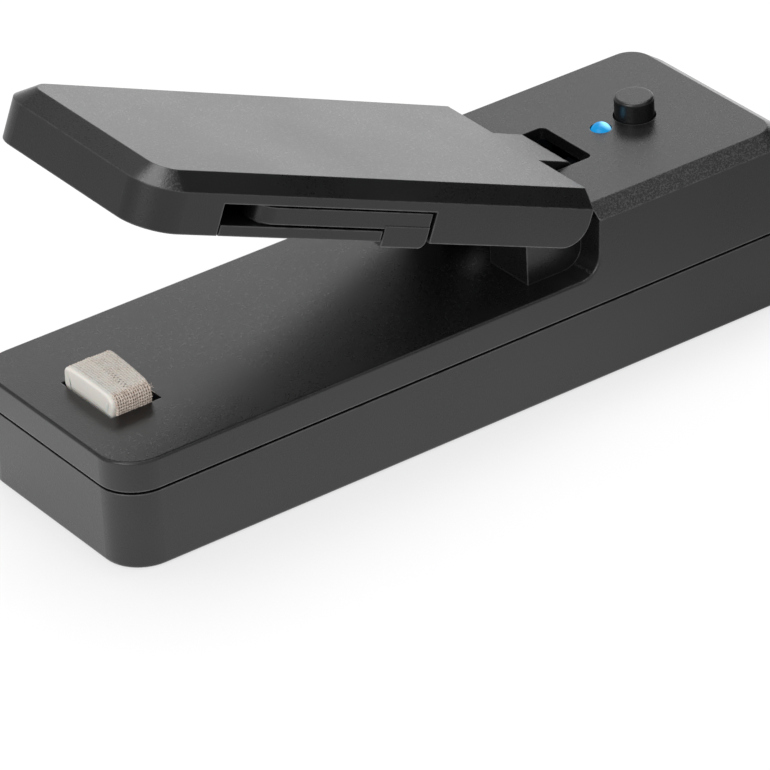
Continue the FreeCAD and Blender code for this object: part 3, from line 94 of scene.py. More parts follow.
class Wiring:
    """Adds and links nodes in one node tree."""

    def __init__(self, tree: bpy.types.NodeTree) -> None:
        """Keeps the tree that the nodes go into."""
        self.tree = tree

    def add(self, kind: str, inputs: Dict[Any, Feed] | None = None, **settings: Any) -> bpy.types.Node:
        """Adds a node.

        Args:
            kind: Blender's name of the node type.
            inputs: What each input socket gets, a value or another socket.
            settings: Properties of the node itself.

        Returns:
            The new node.
        """
        node = self.tree.nodes.new(kind)
        for key, setting in settings.items():
            setattr(node, key, setting)
        self.fill(node, inputs or {})
        return node

    def fill(self, node: bpy.types.Node, inputs: Dict[Any, Feed]) -> None:
        """Feeds several inputs of a node."""
        for key, feed in inputs.items():
            self.feed(node.inputs[key], feed)

    def feed(self, socket: Socket, feed: Feed) -> None:
        """Feeds one input socket.

        Args:
            socket: The input.
            feed: The socket that it is linked to, or its value.
        """
        if isinstance(feed, Socket):
            self.tree.links.new(feed, socket)
        else:
            socket.default_value = feed

    def maths(self, operation: str, *feeds: Feed) -> Socket:
        """A Math node on the given values; returns its result."""
        return self.add("ShaderNodeMath", dict(enumerate(feeds)), operation=operation).outputs[0]

    def plus(self, first: Feed, second: Feed) -> Socket:
        """The sum of two values; returns it."""
        return self.maths("ADD", first, second)

    def minus(self, first: Feed, second: Feed) -> Socket:
        """The first value less the second; returns it."""
        return self.maths("SUBTRACT", first, second)

    def times(self, first: Feed, second: Feed) -> Socket:
        """The product of two values; returns it."""
        return self.maths("MULTIPLY", first, second)

    def over(self, first: Feed, second: Feed) -> Socket:
        """The first value divided by the second; returns it."""
        return self.maths("DIVIDE", first, second)

    def absolute(self, feed: Feed) -> Socket:
        """A value without its sign; returns it."""
        return self.maths("ABSOLUTE", feed)

    def vector(self, operation: str, first: Feed, second: Feed) -> Socket:
        """A Vector Math node.

        Args:
            operation: Blender's name of the operation.
            first: The first vector.
            second: The second vector, or the factor of SCALE.

        Returns:
            The resulting vector.
        """
        node = self.add("ShaderNodeVectorMath", {0: first}, operation=operation)
        self.feed(node.inputs["Scale" if operation == "SCALE" else 1], second)
        return node.outputs["Vector"]

    def reach(self, vector: Feed) -> Socket:
        """The length of a vector; returns it."""
        return self.add("ShaderNodeVectorMath", {0: vector}, operation="LENGTH").outputs["Value"]

    def point(self, x: Feed = 0.0, y: Feed = 0.0, z: Feed = 0.0) -> Socket:
        """A vector made of three values; returns it."""
        return self.add("ShaderNodeCombineXYZ", {0: x, 1: y, 2: z}).outputs[0]

    def axes(self, vector: Feed) -> Any:
        """The three values of a vector; returns their sockets."""
        return self.add("ShaderNodeSeparateXYZ", {0: vector}).outputs

    def ramp(self, feed: Feed, low: Feed, high: Feed, to_low: Feed = 0.0, to_high: Feed = 1.0,
             smooth: bool = True) -> Socket:
        """Maps a value from one span to another, clamped.

        Args:
            feed: The value.
            low: Where the span starts, which may lie above its end.
            high: Where the span ends.
            to_low: Result at the start.
            to_high: Result at the end.
            smooth: Whether the result eases in and out.

        Returns:
            The mapped value.
        """
        style = "SMOOTHSTEP" if smooth else "LINEAR"
        node = self.add("ShaderNodeMapRange", {0: feed, 1: low, 2: high, 3: to_low, 4: to_high},
                        interpolation_type=style)
        return node.outputs[0]

    def between(self, share: Feed, first: Feed, second: Feed) -> Socket:
        """Mixes two values; returns the mixed value."""
        return self.ramp(share, 0.0, 1.0, first, second, False)

    def blend(self, share: Feed, first: Feed, second: Feed) -> Socket:
        """Mixes two colours; returns the mixed colour."""
        return self.add("ShaderNodeMix", {0: share, 6: first, 7: second}, data_type="RGBA").outputs[2]

    def place(self) -> Socket:
        """Object coordinates of a shaded point; returns their vector."""
        return self.add("ShaderNodeTexCoord").outputs["Object"]

    def in_steps(self, place: Feed, step: Feed) -> Socket:
        """A place counted in steps of a length; returns the vector."""
        return self.vector("SCALE", place, self.over(1.0, step))

    def noise(self, place: Feed, detail: float, scale: float = 1.0) -> Socket:
        """A noise texture; returns its value."""
        return self.add("ShaderNodeTexNoise", {"Vector": place, "Scale": scale, "Detail": detail}).outputs[0]

    def group(self, tree: bpy.types.NodeTree, inputs: Dict[str, Feed]) -> Any:
        """Places a shader node group; returns its outputs."""
        return self.add("ShaderNodeGroup", inputs, node_tree=tree).outputs

    def shape(self, kind: str, inputs: Dict[Any, Feed] | None = None, **settings: Any) -> Socket:
        """Adds a geometry node by the end of its name; returns its first output."""
        return self.add("GeometryNode" + kind, inputs, **settings).outputs[0]

    def join(self, *parts: Socket) -> Socket:
        """Joins geometry.

        Args:
            parts: What is joined.

        Returns:
            The joined geometry.
        """
        node = self.add("GeometryNodeJoinGeometry")
        for part in parts:
            self.feed(node.inputs[0], part)
        return node.outputs[0]


def new_group(name: str, kind: str, inputs: Sequence[Tuple[str, str, Any]],
              outputs: Sequence[Tuple[str, str]]) -> Tuple[bpy.types.NodeTree, Wiring, Any, Any]:
    """Makes a node group with named sockets.

    Args:
        name: Name of the group.
        kind: ShaderNodeTree or GeometryNodeTree.
        inputs: Name, socket type and default of each input.
        outputs: Name and socket type of each output.

    Returns:
        The tree, its wiring, the sockets that bring the inputs and the sockets that take the outputs.
    """
    tree = bpy.data.node_groups.new(name, kind)
    for label, socket_type, default in inputs:
        socket = tree.interface.new_socket(label, in_out="INPUT", socket_type=socket_type)
        if default is not None:
            socket.default_value = default
    for label, socket_type in outputs:
        tree.interface.new_socket(label, in_out="OUTPUT", socket_type=socket_type)
    wiring = Wiring(tree)
    source = wiring.add("NodeGroupInput").outputs
    sink = wiring.add("NodeGroupOutput").inputs
    return tree, wiring, source, sink


class Surface:
    """Shader node groups that several finishes share, each built once."""

    @staticmethod
    @cache
    def grain() -> bpy.types.NodeTree:
        """Spark-eroded mould grain.

        Returns:
            A group with the outputs Height, Tone and Speckle.
        """
        pit_scale, speck_scale = 1.3, 0.83
        speck_span = (0.6, 0.74)
        tree, wire, source, sink = new_group(
            "moulded_grain", "ShaderNodeTree",
            [("Grain Size", FLOAT, 0.3 * MM), ("Pits", FLOAT, 0.4), ("Cloud Size", FLOAT, 20 * MM)],
            [("Height", FLOAT), ("Tone", FLOAT), ("Speckle", FLOAT)])
        place = wire.place()
        fine = wire.in_steps(place, source["Grain Size"])
        pits = wire.add("ShaderNodeTexVoronoi", {"Vector": fine, "Scale": pit_scale}).outputs["Distance"]
        bumps = wire.noise(fine, detail=2.0)
        wire.feed(sink["Height"], wire.plus(bumps, wire.times(pits, source["Pits"])))
        wire.feed(sink["Tone"], wire.noise(wire.in_steps(place, source["Cloud Size"]), detail=3.0))
        specks = wire.noise(fine, detail=0.0, scale=speck_scale)
        wire.feed(sink["Speckle"], wire.ramp(specks, *speck_span))
        return tree

    @staticmethod
    @cache
    def edges() -> bpy.types.NodeTree:
        """Softened edges, with a mask for a painted highlight on them.

        Returns:
            A group with the outputs Edge Highlight, which is 1 on convex edges in open places, where a
            painted highlight goes, and Normal, which turns round them.
        """
        rays = 8
        edge_span, unshaded_span = (0.97, 0.72), (0.25, 0.5)
        patch_span, patch_shares = (0.25, 0.6), (0.35, 1.0)
        tree, wire, source, sink = new_group(
            "highlit_edges", "ShaderNodeTree",
            [("Radius", FLOAT, 0.2 * MM), ("Breakup Size", FLOAT, 2 * MM), ("Reach", FLOAT, 12 * MM)],
            [("Edge Highlight", FLOAT), ("Normal", VECTOR)])
        soft = wire.add("ShaderNodeBevel", {"Radius": source["Radius"]}, samples=rays).outputs[0]
        room = wire.add("ShaderNodeAmbientOcclusion", {"Distance": source["Radius"]}, inside=True,
                        only_local=True, samples=rays).outputs["AO"]
        unshaded = wire.add("ShaderNodeAmbientOcclusion", {"Distance": source["Reach"]},
                        samples=rays).outputs["AO"]
        # Convex edges in open, unshaded places are where the painted highlight goes.
        open_edges = wire.times(wire.ramp(room, *edge_span), wire.ramp(unshaded, *unshaded_span))
        noise = wire.noise(wire.in_steps(wire.place(), source["Breakup Size"]), detail=3.0)
        wire.feed(sink["Edge Highlight"], wire.times(open_edges, wire.ramp(noise, *patch_span, *patch_shares)))
        wire.feed(sink["Normal"], soft)
        return tree

    @staticmethod
    @cache
    def drawn() -> bpy.types.NodeTree:
        """Fine parallel lines of drawn, rolled or ground metal.

        Returns:
            A group with the outputs Lines and Tarnish.
        """
        stain_span = (0.45, 0.75)
        tree, wire, source, sink = new_group(
            "drawn_lines", "ShaderNodeTree",
            [("Stretch", VECTOR, (300.0, 6000.0, 6000.0)), ("Stain Size", FLOAT, 3 * MM)],
            [("Lines", FLOAT), ("Tarnish", FLOAT)])
        place = wire.place()
        along = wire.vector("MULTIPLY", place, source["Stretch"])
        wire.feed(sink["Lines"], wire.noise(along, detail=2.0))
        stain = wire.noise(wire.in_steps(place, source["Stain Size"]), detail=4.0)
        wire.feed(sink["Tarnish"], wire.ramp(stain, *stain_span))
        return tree


def new_material(name: str) -> Tuple[bpy.types.Material, Wiring, bpy.types.Node]:
    """Makes a node material.

    Args:
        name: Name of the material.

    Returns:
        The material, its wiring and its Principled BSDF.
    """
    material = bpy.data.materials.new(name)
    material.use_nodes = True
    return material, Wiring(material.node_tree), material.node_tree.nodes["Principled BSDF"]


TONES: Span = (0.3, 0.7)


class Finish(ABC):
    """A finish that can make its material."""

    @abstractmethod
    def material(self) -> bpy.types.Material:
        """Builds the material; returns it."""


@dataclass(frozen=True)
class Moulding(Finish):
    """Moulded plastic, rubber or fired white ware, with grain, softened edges, a painted highlight on open
    edges and, where set, painted glints on the sloped rim.
    """

    name: str
    colour: Colour
    roughness: float = 0.42
    grain: float = 0.3 * MM
    pits: float = 0.4
    depth: float = 0.012 * MM
    bump: float = 0.5
    edge: float = 0.2 * MM
    highlight_colour: Colour = (0.09, 0.09, 0.09, 1.0)
    edge_highlight: float = 0.35
    cloud: float = 0.2
    gloss: float = 0.5
    soft: float = 0.0
    soft_depth: float = MM
    chamfer: float = 0.0
    # Share of the painted glints on the sloped rim.
    glints: float = 0.0
    glint_span: Span = (0.66, 0.86)
    rim_low: Span = (0.76, 0.79)
    rim_high: Span = (0.88, 0.85)
    rough_span: Span = (0.25, 0.75)
    rough_spread: float = 0.02
    sparkle: float = -0.06

    def sloped(self, wire: Wiring) -> Socket:
        """Finds the housing's sloped rim by how far its faces look up.

        Args:
            wire: Wiring of the material.

        Returns:
            A mask that is 1 on the rim.
        """
        normal = wire.add("ShaderNodeNewGeometry").outputs["True Normal"]
        local = wire.add("ShaderNodeVectorTransform", {0: normal}, vector_type="NORMAL",
                         convert_from="WORLD", convert_to="OBJECT").outputs[0]
        lift = wire.axes(local)[2]
        return wire.times(wire.ramp(lift, *self.rim_low), wire.ramp(lift, *self.rim_high))

    def material(self) -> bpy.types.Material:
        """Builds the material.

        Returns:
            The new material.
        """
        material, wire, shader = new_material(self.name)
        grain = wire.group(Surface.grain(), {"Grain Size": self.grain, "Pits": self.pits})
        edges = wire.group(Surface.edges(), {"Radius": self.edge})
        dark, light = (tuple(part * share for part in self.colour[:3]) + (1.0,)
                       for share in (1 - self.cloud, 1 + self.cloud))
        body = wire.blend(wire.ramp(grain["Tone"], *TONES), dark, light)
        rim = self.sloped(wire)
        # Light dots on the sloped rim are painted glints of the grain.
        glint_dots = wire.times(wire.ramp(grain["Height"], *self.glint_span), rim)
        # The lighter colour mixed in here is painted light: a highlight on open edges and glints on the
        # sloped rim.
        painted_light = wire.plus(wire.times(edges["Edge Highlight"], self.edge_highlight), wire.times(glint_dots, self.glints))
        spread = wire.ramp(grain["Tone"], *self.rough_span, self.roughness - self.rough_spread,
                           self.roughness + self.rough_spread)
        bump = wire.add("ShaderNodeBump", {
            "Height": grain["Height"], "Strength": self.bump, "Normal": edges["Normal"],
            "Distance": wire.between(rim, self.depth, self.depth + self.chamfer)})
        wire.fill(shader, {
            "Base Color": wire.blend(painted_light, body, self.highlight_colour),
            "Roughness": wire.plus(spread, wire.times(grain["Speckle"], self.sparkle)),
            "Normal": bump.outputs[0], "Specular IOR Level": self.gloss,
            "Subsurface Weight": self.soft, "Subsurface Scale": self.soft_depth})
        return material


@dataclass(frozen=True)
class Coating(Moulding):
    """Coat that turns to another colour towards the front and has a dark dashed line across it: the ribbon
    seen through, with painted shade in the holes of the weave.
    """

    front: Colour = (0.75, 0.72, 0.67, 1.0)
    front_x: float = 0.0
    fade: float = MM
    # line is the colour of the dark dashes: the ribbon seen through, with painted shade in the holes of the
    # weave.
    line: Colour = (0.1, 0.07, 0.055, 1.0)
    line_x: float = 0.0
    line_slope: float = 0.0
    line_half: float = 0.42 * MM
    line_pitch: float = 0.62 * MM
    line_fade: Span = (4.5 * MM, -2.5 * MM)
    line_strength: float = 0.85
    row_split: Span = (-0.05, 0.05)
    row_span: Span = (0.5, 0.2)
    hole_span: Span = (0.1, 0.6)

    def material(self) -> bpy.types.Material:
        """Builds the material.

        Returns:
            The new material.
        """
        material = super().material()
        wire = Wiring(material.node_tree)
        base = material.node_tree.nodes["Principled BSDF"].inputs["Base Color"]
        x, y, _ = wire.axes(wire.place())
        share = wire.ramp(x, self.front_x + self.fade, self.front_x)
        plain = wire.blend(share, base.links[0].from_socket, self.front)
        # The dark dashes in two rows are the ribbon seen through the cloth, with painted shade in the holes
        # of the weave; they fade out towards +Y.
        middle = wire.plus(wire.times(y, self.line_slope), self.line_x)
        off = wire.over(wire.minus(x, middle), self.line_half)
        lag = wire.times(wire.ramp(off, *self.row_split), math.pi)
        turn = wire.plus(wire.times(y, 2 * math.pi / self.line_pitch), lag)
        shaded_holes = wire.ramp(wire.maths("COSINE", turn), *self.hole_span)
        rows = wire.ramp(wire.absolute(wire.minus(wire.absolute(off), 0.5)), *self.row_span)
        strength = wire.ramp(y, *self.line_fade, 0.0, self.line_strength)
        hole_shade = wire.times(wire.times(shaded_holes, rows), strength)
        wire.feed(base, wire.blend(hole_shade, plain, self.line))
        return material


@dataclass(frozen=True)
class Metal(Finish):
    """Drawn, rolled, plated or ground metal."""

    name: str
    colour: Colour
    roughness: float = 0.3
    stretch: Triple = (300.0, 6000.0, 6000.0)
    stained: Colour = (0.2, 0.19, 0.18, 1.0)
    stain: float = 0.3
    edge: float = 0.08 * MM
    bump: float = 0.25
    depth: float = 0.01 * MM
    smoother: float = 0.08
    rougher: float = 0.1

    def material(self) -> bpy.types.Material:
        """Builds the material.

        Returns:
            The new material.
        """
        material, wire, shader = new_material(self.name)
        drawn = wire.group(Surface.drawn(), {"Stretch": self.stretch})
        edges = wire.group(Surface.edges(), {"Radius": self.edge})
        share = wire.times(drawn["Tarnish"], self.stain)
        bump = wire.add("ShaderNodeBump", {"Height": drawn["Lines"], "Strength": self.bump,
                                           "Distance": self.depth, "Normal": edges["Normal"]})
        wire.fill(shader, {
            "Base Color": wire.blend(share, self.colour, self.stained),
            "Roughness": wire.ramp(drawn["Lines"], *TONES, self.roughness - self.smoother,
                                   self.roughness + self.rougher),
            "Normal": bump.outputs[0], "Metallic": 1.0})
        return material


@dataclass(frozen=True)
class Lens(Finish):
    """Tinted lamp lens that glows, with a brighter core round a given centre that is a painted highlight."""

    name: str
    colour: Colour
    glow: Colour
    # The core colour is that of a painted highlight.
    core: Colour
    centre: Triple
    reach: float
    strength: float
    core_share: float = 0.35
    frost: Span = (0.36, 0.46)
    bending: float = 1.53
    gloss: float = 0.25

    def material(self) -> bpy.types.Material:
        """Builds the material.

        Returns:
            The new material.
        """
        material, wire, shader = new_material(self.name)
        grain = wire.group(Surface.grain(), {})
        # Near the centre the glow and the base colour turn to the core colour, a painted highlight.
        far = wire.reach(wire.vector("SUBTRACT", wire.place(), self.centre))
        near = wire.ramp(far, self.reach, self.core_share * self.reach)
        wire.fill(shader, {
            "Base Color": wire.blend(near, self.colour, self.glow),
            "Emission Color": wire.blend(near, self.glow, self.core), "Emission Strength": self.strength,
            "Roughness": wire.ramp(grain["Tone"], *TONES, *self.frost),
            "IOR": self.bending, "Specular IOR Level": self.gloss})
        return material


@dataclass(frozen=True)
class Yarn(Finish):
    """Glass yarn of a woven cloth, with patches of a darker shade."""

    name: str
    colour: Colour
    shade: Colour
    roughness: float = 0.6
    rough_spread: float = 0.1
    fibre: Triple = (9000.0, 9000.0, 9000.0)
    patch: float = 0.7 * MM
    patch_share: float = 0.8
    bump: float = 0.3
    depth: float = 0.03 * MM
    sheen: float = 0.2

    def material(self) -> bpy.types.Material:
        """Builds the material.

        Returns:
            The new material.
        """
        material, wire, shader = new_material(self.name)
        drawn = wire.group(Surface.drawn(), {"Stretch": self.fibre, "Stain Size": self.patch})
        tone = wire.times(drawn["Tarnish"], self.patch_share)
        bump = wire.add("ShaderNodeBump", {"Height": drawn["Lines"], "Strength": self.bump,
                                           "Distance": self.depth})
        wire.fill(shader, {
            "Base Color": wire.blend(tone, self.colour, self.shade),
            "Roughness": wire.ramp(drawn["Lines"], *TONES, self.roughness - self.rough_spread,
                                   self.roughness + self.rough_spread),
            "Normal": bump.outputs[0], "Sheen Weight": self.sheen})
        return material


@cache
def material_of(finish: Finish) -> bpy.types.Material:
    """The material of a finish, built at its first use; returns it."""
    return finish.material()


def paint(piece: bpy.types.Object, finish: Finish) -> None:
    """Gives an object one finish on all its faces."""
    piece.data.materials.clear()
    piece.data.materials.append(material_of(finish))


def link_piece(name: str, data: bpy.types.ID) -> bpy.types.Object:
    """Puts new object data in the scene.

    Args:
        name: Name of the object.
        data: Its mesh, curve, lamp or camera.

    Returns:
        The object.
    """
    piece = bpy.data.objects.new(name, data)
    bpy.context.scene.collection.objects.link(piece)
    return piece


def grow(host: bpy.types.Object, tree: bpy.types.NodeTree, inputs: Dict[str, Any]) -> bpy.types.Object:
    """Runs a Geometry Nodes tree on an object and keeps the result as a plain mesh.

    Args:
        host: Object whose geometry goes into the tree. It is removed.
        tree: The node tree.
        inputs: Values of the tree's named inputs.

    Returns:
        A mesh object of the host's name at the origin.
    """
    modifier = host.modifiers.new(tree.name, "NODES")
    modifier.node_group = tree
    sockets = {item.name: item.identifier for item in tree.interface.items_tree
               if item.item_type == "SOCKET" and item.in_out == "INPUT"}
    for label, setting in inputs.items():
        modifier[sockets[label]] = setting
    bpy.context.view_layer.update()
    graph = bpy.context.evaluated_depsgraph_get()
    mesh = bpy.data.meshes.new_from_object(host.evaluated_get(graph), depsgraph=graph)
    name = host.name
    bpy.data.objects.remove(host)
    mesh.name = name
    return link_piece(name, mesh)


def settle(piece: bpy.types.Object, body: Body, slot: Slot, *nodes: str) -> bpy.types.Object:
    """Ties a new piece to its body and hides the CAD nodes that it stands for.

    Args:
        piece: The finished piece.
        body: Body that it rides on.
        slot: Not used.
        nodes: CAD nodes that it replaces.

    Returns:
        The piece.
    """
    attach(piece, body.value)
    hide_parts(*nodes)
    LOG.info("%s: %d faces on %s", piece.name, len(piece.data.polygons), body.value)
    return piece


@cache
def screw_tree() -> bpy.types.NodeTree:
    """Cross-recessed screws at the points of a mesh.

    Returns:
        A tree that puts a screw at each point, with its head down before it is turned.
    """
    rim_level, rim_inset = -0.4, -0.12
    bar_length, bar_width, bar_height = 1.15, 0.26, 1.1
    core_share, ridge_share, section_share = 0.82, 0.88, 0.12
    bare_turns = 1.5
    tree, wire, source, sink = new_group(
        "cross_screws", "GeometryNodeTree",
        [("Places", GEOMETRY, None), ("Head Radius", FLOAT, 2 * MM), ("Head Height", FLOAT, 1.8 * MM),
         ("Shank Radius", FLOAT, MM), ("Length", FLOAT, 9 * MM), ("Pitch", FLOAT, 0.8 * MM),
         ("Tilt", VECTOR, ORIGIN), ("Finish", MATERIAL, None)],
        [("Geometry", GEOMETRY)])
    head_radius, head_height = source["Head Radius"], source["Head Height"]
    shank, length, pitch = source["Shank Radius"], source["Length"], source["Pitch"]
    drum = wire.shape("MeshCylinder", {"Vertices": 32, "Side Segments": 4, "Radius": head_radius,
                                       "Depth": head_height})
    place = wire.shape("InputPosition")
    rim = wire.maths("LESS_THAN", wire.axes(place)[2], wire.times(head_height, rim_level))
    outward = wire.vector("MULTIPLY", place, (1.0, 1.0, 0.0))
    inset = wire.vector("SCALE", outward, wire.times(rim, rim_inset))
    head = wire.shape("SetPosition", {"Geometry": drum, "Offset": inset})
    cut = wire.add("GeometryNodeMeshBoolean", {"Mesh 1": head}, operation="DIFFERENCE")
    wide, narrow = (wire.times(head_radius, share) for share in (bar_length, bar_width))
    tall = wire.times(head_height, bar_height)
    low = wire.point(z=wire.times(head_height, -0.5))
    for across, along in ((wide, narrow), (narrow, wide)):
        bar = wire.shape("MeshCube", {"Size": wire.point(across, along, tall)})
        wire.feed(cut.inputs["Mesh 2"], wire.shape("Transform", {"Geometry": bar, "Translation": low}))
    core = wire.shape("MeshCylinder", {"Vertices": 24, "Radius": wire.times(shank, core_share),
                                       "Depth": length})
    core_place = wire.point(z=wire.times(wire.plus(head_height, length), 0.5))
    core_set = wire.shape("Transform", {"Geometry": core, "Translation": core_place})
    turns = wire.minus(wire.over(length, pitch), bare_turns)
    ridge_radius = wire.times(shank, ridge_share)
    ridge = wire.shape("CurveSpiral", {
        "Resolution": 20, "Rotations": turns, "Start Radius": ridge_radius, "End Radius": ridge_radius,
        "Height": wire.times(turns, pitch)})
    section = wire.shape("CurvePrimitiveCircle", {"Resolution": 4,
                                                  "Radius": wire.times(shank, section_share)})
    thread = wire.shape("CurveToMesh", {"Curve": ridge, "Profile Curve": section, "Fill Caps": True})
    ridge_place = wire.point(z=wire.plus(wire.times(head_height, 0.5), pitch))
    ridge_set = wire.shape("Transform", {"Geometry": thread, "Translation": ridge_place})
    whole = wire.join(cut.outputs[0], core_set, ridge_set)
    copies = wire.shape("InstanceOnPoints", {"Points": source["Places"], "Instance": whole,
                                             "Rotation": source["Tilt"]})
    solid = wire.shape("RealizeInstances", {"Geometry": copies})
    wire.feed(sink["Geometry"], wire.shape("SetMaterial", {"Geometry": solid, "Material": source["Finish"]}))
    return tree


@dataclass(frozen=True)
class Screw:
    """Sizes of one kind of screw."""

    head: float
    head_height: float
    shank: float
    length: float


@dataclass(frozen=True)
class ScrewSet:
    """One kind of screw at several places."""

    name: str
    replaces: str
    body: Body
    screw: Screw
    places: Tuple[Triple, ...]
    tilt: float = 0.0

    def build(self, finish: Finish) -> bpy.types.Object:
        """Makes the screws.

        Args:
            finish: Metal of the screws.

        Returns:
            One mesh with all the screws of the set.
        """
        mesh = bpy.data.meshes.new(self.name)
        mesh.from_pydata([Vector(place) for place in self.places], [], [])
        host = link_piece(self.name, mesh)
        piece = grow(host, screw_tree(), {
            "Head Radius": self.screw.head / 2, "Head Height": self.screw.head_height,
            "Shank Radius": self.screw.shank / 2, "Length": self.screw.length,
            "Tilt": (0.0, self.tilt, 0.0), "Finish": material_of(finish)})
        return settle(piece, self.body, Slot.STEEL, self.replaces)


def paired(xs: Sequence[float], y: float, z: float) -> Tuple[Triple, ...]:
    """Places in pairs on both sides of the middle; returns them."""
    return tuple((x, hand * y, z) for x in xs for hand in HANDS)


@dataclass(frozen=True)
class Hinge:
    """The arm's hinge, which turns shut places to the open rest."""

    x: float = 25.25 * MM
    z: float = 18.3 * MM
    angle: float = math.radians(22.1)

    def opened(self, place: Triple) -> Triple:
        """Turns a place on the shut arm to the open rest.

        Args:
            place: Where it is on the shut arm.

        Returns:
            Where it is on the open arm.
        """
        across, up = place[0] - self.x, place[2] - self.z
        cosine, sine = math.cos(self.angle), math.sin(self.angle)
        return (self.x + across * cosine + up * sine, place[1], self.z - across * sine + up * cosine)


BLACK: Colour = (0.006, 0.006, 0.0062, 1.0)
# Colour of the painted edge highlight on the black plastics.
HIGHLIGHT_GREY: Colour = (0.12, 0.12, 0.12, 1.0)
BLACK_CASE = Moulding("black_case", BLACK, roughness=0.33, grain=0.24 * MM, depth=0.028 * MM,
                      chamfer=0.02 * MM, glints=0.25, highlight_colour=HIGHLIGHT_GREY, edge_highlight=0.6)
LEVER = Moulding("black_lever", BLACK, roughness=0.3, grain=0.14 * MM, bump=0.3, highlight_colour=HIGHLIGHT_GREY, edge_highlight=0.6)
BUTTON = Moulding("black_button", BLACK, roughness=0.34, grain=0.2 * MM, bump=0.2)
SWITCH = Moulding("switch_housing", (0.03, 0.03, 0.032, 1.0), roughness=0.5, grain=0.25 * MM)
STEM = Moulding("pale_stem", (0.55, 0.54, 0.5, 1.0), highlight_colour=(0.7, 0.7, 0.66, 1.0), grain=0.2 * MM)
CHIP = Moulding("chip_moulding", (0.015, 0.015, 0.016, 1.0), roughness=0.55, grain=0.15 * MM)
SILICONE = Moulding("pad_silicone", (0.55, 0.53, 0.48, 1.0), roughness=0.62, grain=0.5 * MM, bump=0.3,
                    highlight_colour=(0.6, 0.58, 0.53, 1.0), soft=0.15)
WHITE_WARE = Moulding("white_ware", (0.72, 0.69, 0.63, 1.0), roughness=0.6, grain=0.4 * MM, bump=0.25,
                      highlight_colour=(0.78, 0.76, 0.71, 1.0), edge=0.25 * MM, cloud=0.04, soft=0.2)
FOAM = Moulding("foam_tape", (0.7, 0.7, 0.66, 1.0), roughness=0.8, grain=0.5 * MM, pits=1.0, bump=1.0,
                depth=0.06 * MM, highlight_colour=(0.75, 0.75, 0.7, 1.0))
BOARD = Moulding("green_board", (0.012, 0.11, 0.045, 1.0), roughness=0.3, grain=0.8 * MM, bump=0.15,
                 highlight_colour=(0.35, 0.3, 0.12, 1.0), edge_highlight=0.6)
RED_LEAD = Moulding("red_insulation", (0.42, 0.02, 0.015, 1.0), roughness=0.45, grain=0.6 * MM, bump=0.2)
BLACK_LEAD = Moulding("black_insulation", (0.015, 0.015, 0.015, 1.0), roughness=0.45, grain=0.6 * MM,
                      bump=0.2)
WHITE_LEAD = Moulding("white_insulation", (0.7, 0.69, 0.65, 1.0), roughness=0.5, grain=0.6 * MM, bump=0.2,
                      highlight_colour=(0.75, 0.74, 0.7, 1.0))
BLACK_STEEL = Metal("blacked_steel", (0.05, 0.05, 0.052, 1.0), roughness=0.38,
                    stained=(0.03, 0.028, 0.026, 1.0))
STEEL = Metal("plated_steel", (0.56, 0.56, 0.57, 1.0), roughness=0.28)
BLADE = Metal("ground_steel", (0.64, 0.65, 0.66, 1.0), roughness=0.22, stretch=(6000.0, 300.0, 6000.0))
SPRING = Metal("spring_wire", (0.46, 0.46, 0.47, 1.0), roughness=0.26)
RIBBON = Metal("heating_strip", (0.5, 0.47, 0.43, 1.0), roughness=0.35, stretch=(6000.0, 300.0, 6000.0))
BRASS = Metal("stamped_brass", (0.72, 0.53, 0.24, 1.0), roughness=0.3, stained=(0.3, 0.18, 0.07, 1.0))
TIN = Metal("tinned_metal", (0.66, 0.66, 0.64, 1.0), roughness=0.3)
FOIL = Metal("pouch_foil", (0.62, 0.63, 0.65, 1.0), roughness=0.42, stretch=(500.0, 2500.0, 2500.0))
YARN = Yarn("glass_yarn", (0.66, 0.57, 0.5, 1.0), (0.42, 0.33, 0.27, 1.0))
COAT = Coating("cloth_coat", (0.8, 0.71, 0.64, 1.0), roughness=0.62, grain=0.35 * MM, pits=0.2, bump=0.5,
               depth=0.03 * MM, highlight_colour=(0.76, 0.7, 0.64, 1.0), cloud=0.08, soft=0.15,
               front=(0.74, 0.71, 0.66, 1.0), front_x=-48.6 * MM, fade=1.6 * MM,
               line_x=-45.84 * MM, line_slope=0.0475)


@dataclass
class SubAssembly(ABC):
    """A group of pieces that is built and dressed together."""

    nodes: Dict[str, bpy.types.Object]

    @abstractmethod
    def build(self) -> None:
        """Makes the meshes that the CAD frame lacks."""

    @abstractmethod
    def dress(self) -> None:
        """Gives each CAD node its finish."""

    def coat(self, finish: Finish, *names: str) -> None:
        """Paints CAD nodes with one finish and reports them.

        Args:
            finish: The finish.
            names: Names of the nodes.
        """
        for name in names:
            paint(self.nodes[name], finish)
            LOG.info("%s: %s", name, finish.name)


@dataclass
class Case(SubAssembly):
    """Lower case and upper cover, with the screws that join them."""

    screw_xs: Span = (-49.8 * MM, 49.8 * MM)
    screw_y: float = 13.0 * MM
    screw: Screw = Screw(head=4.2 * MM, head_height=1.8 * MM, shank=2.2 * MM, length=9.0 * MM)
    head_gap: float = 0.2 * MM

    def build(self) -> None:
        """Makes the case screws."""
        places = paired(self.screw_xs, self.screw_y, self.head_gap + self.screw.head_height / 2)
        ScrewSet("case_screw_set", "case_screws", Body.BASE, self.screw, places).build(STEEL)

    def dress(self) -> None:
        """Paints the two shells."""
        self.coat(BLACK_CASE, "lower_case", "upper_cover")


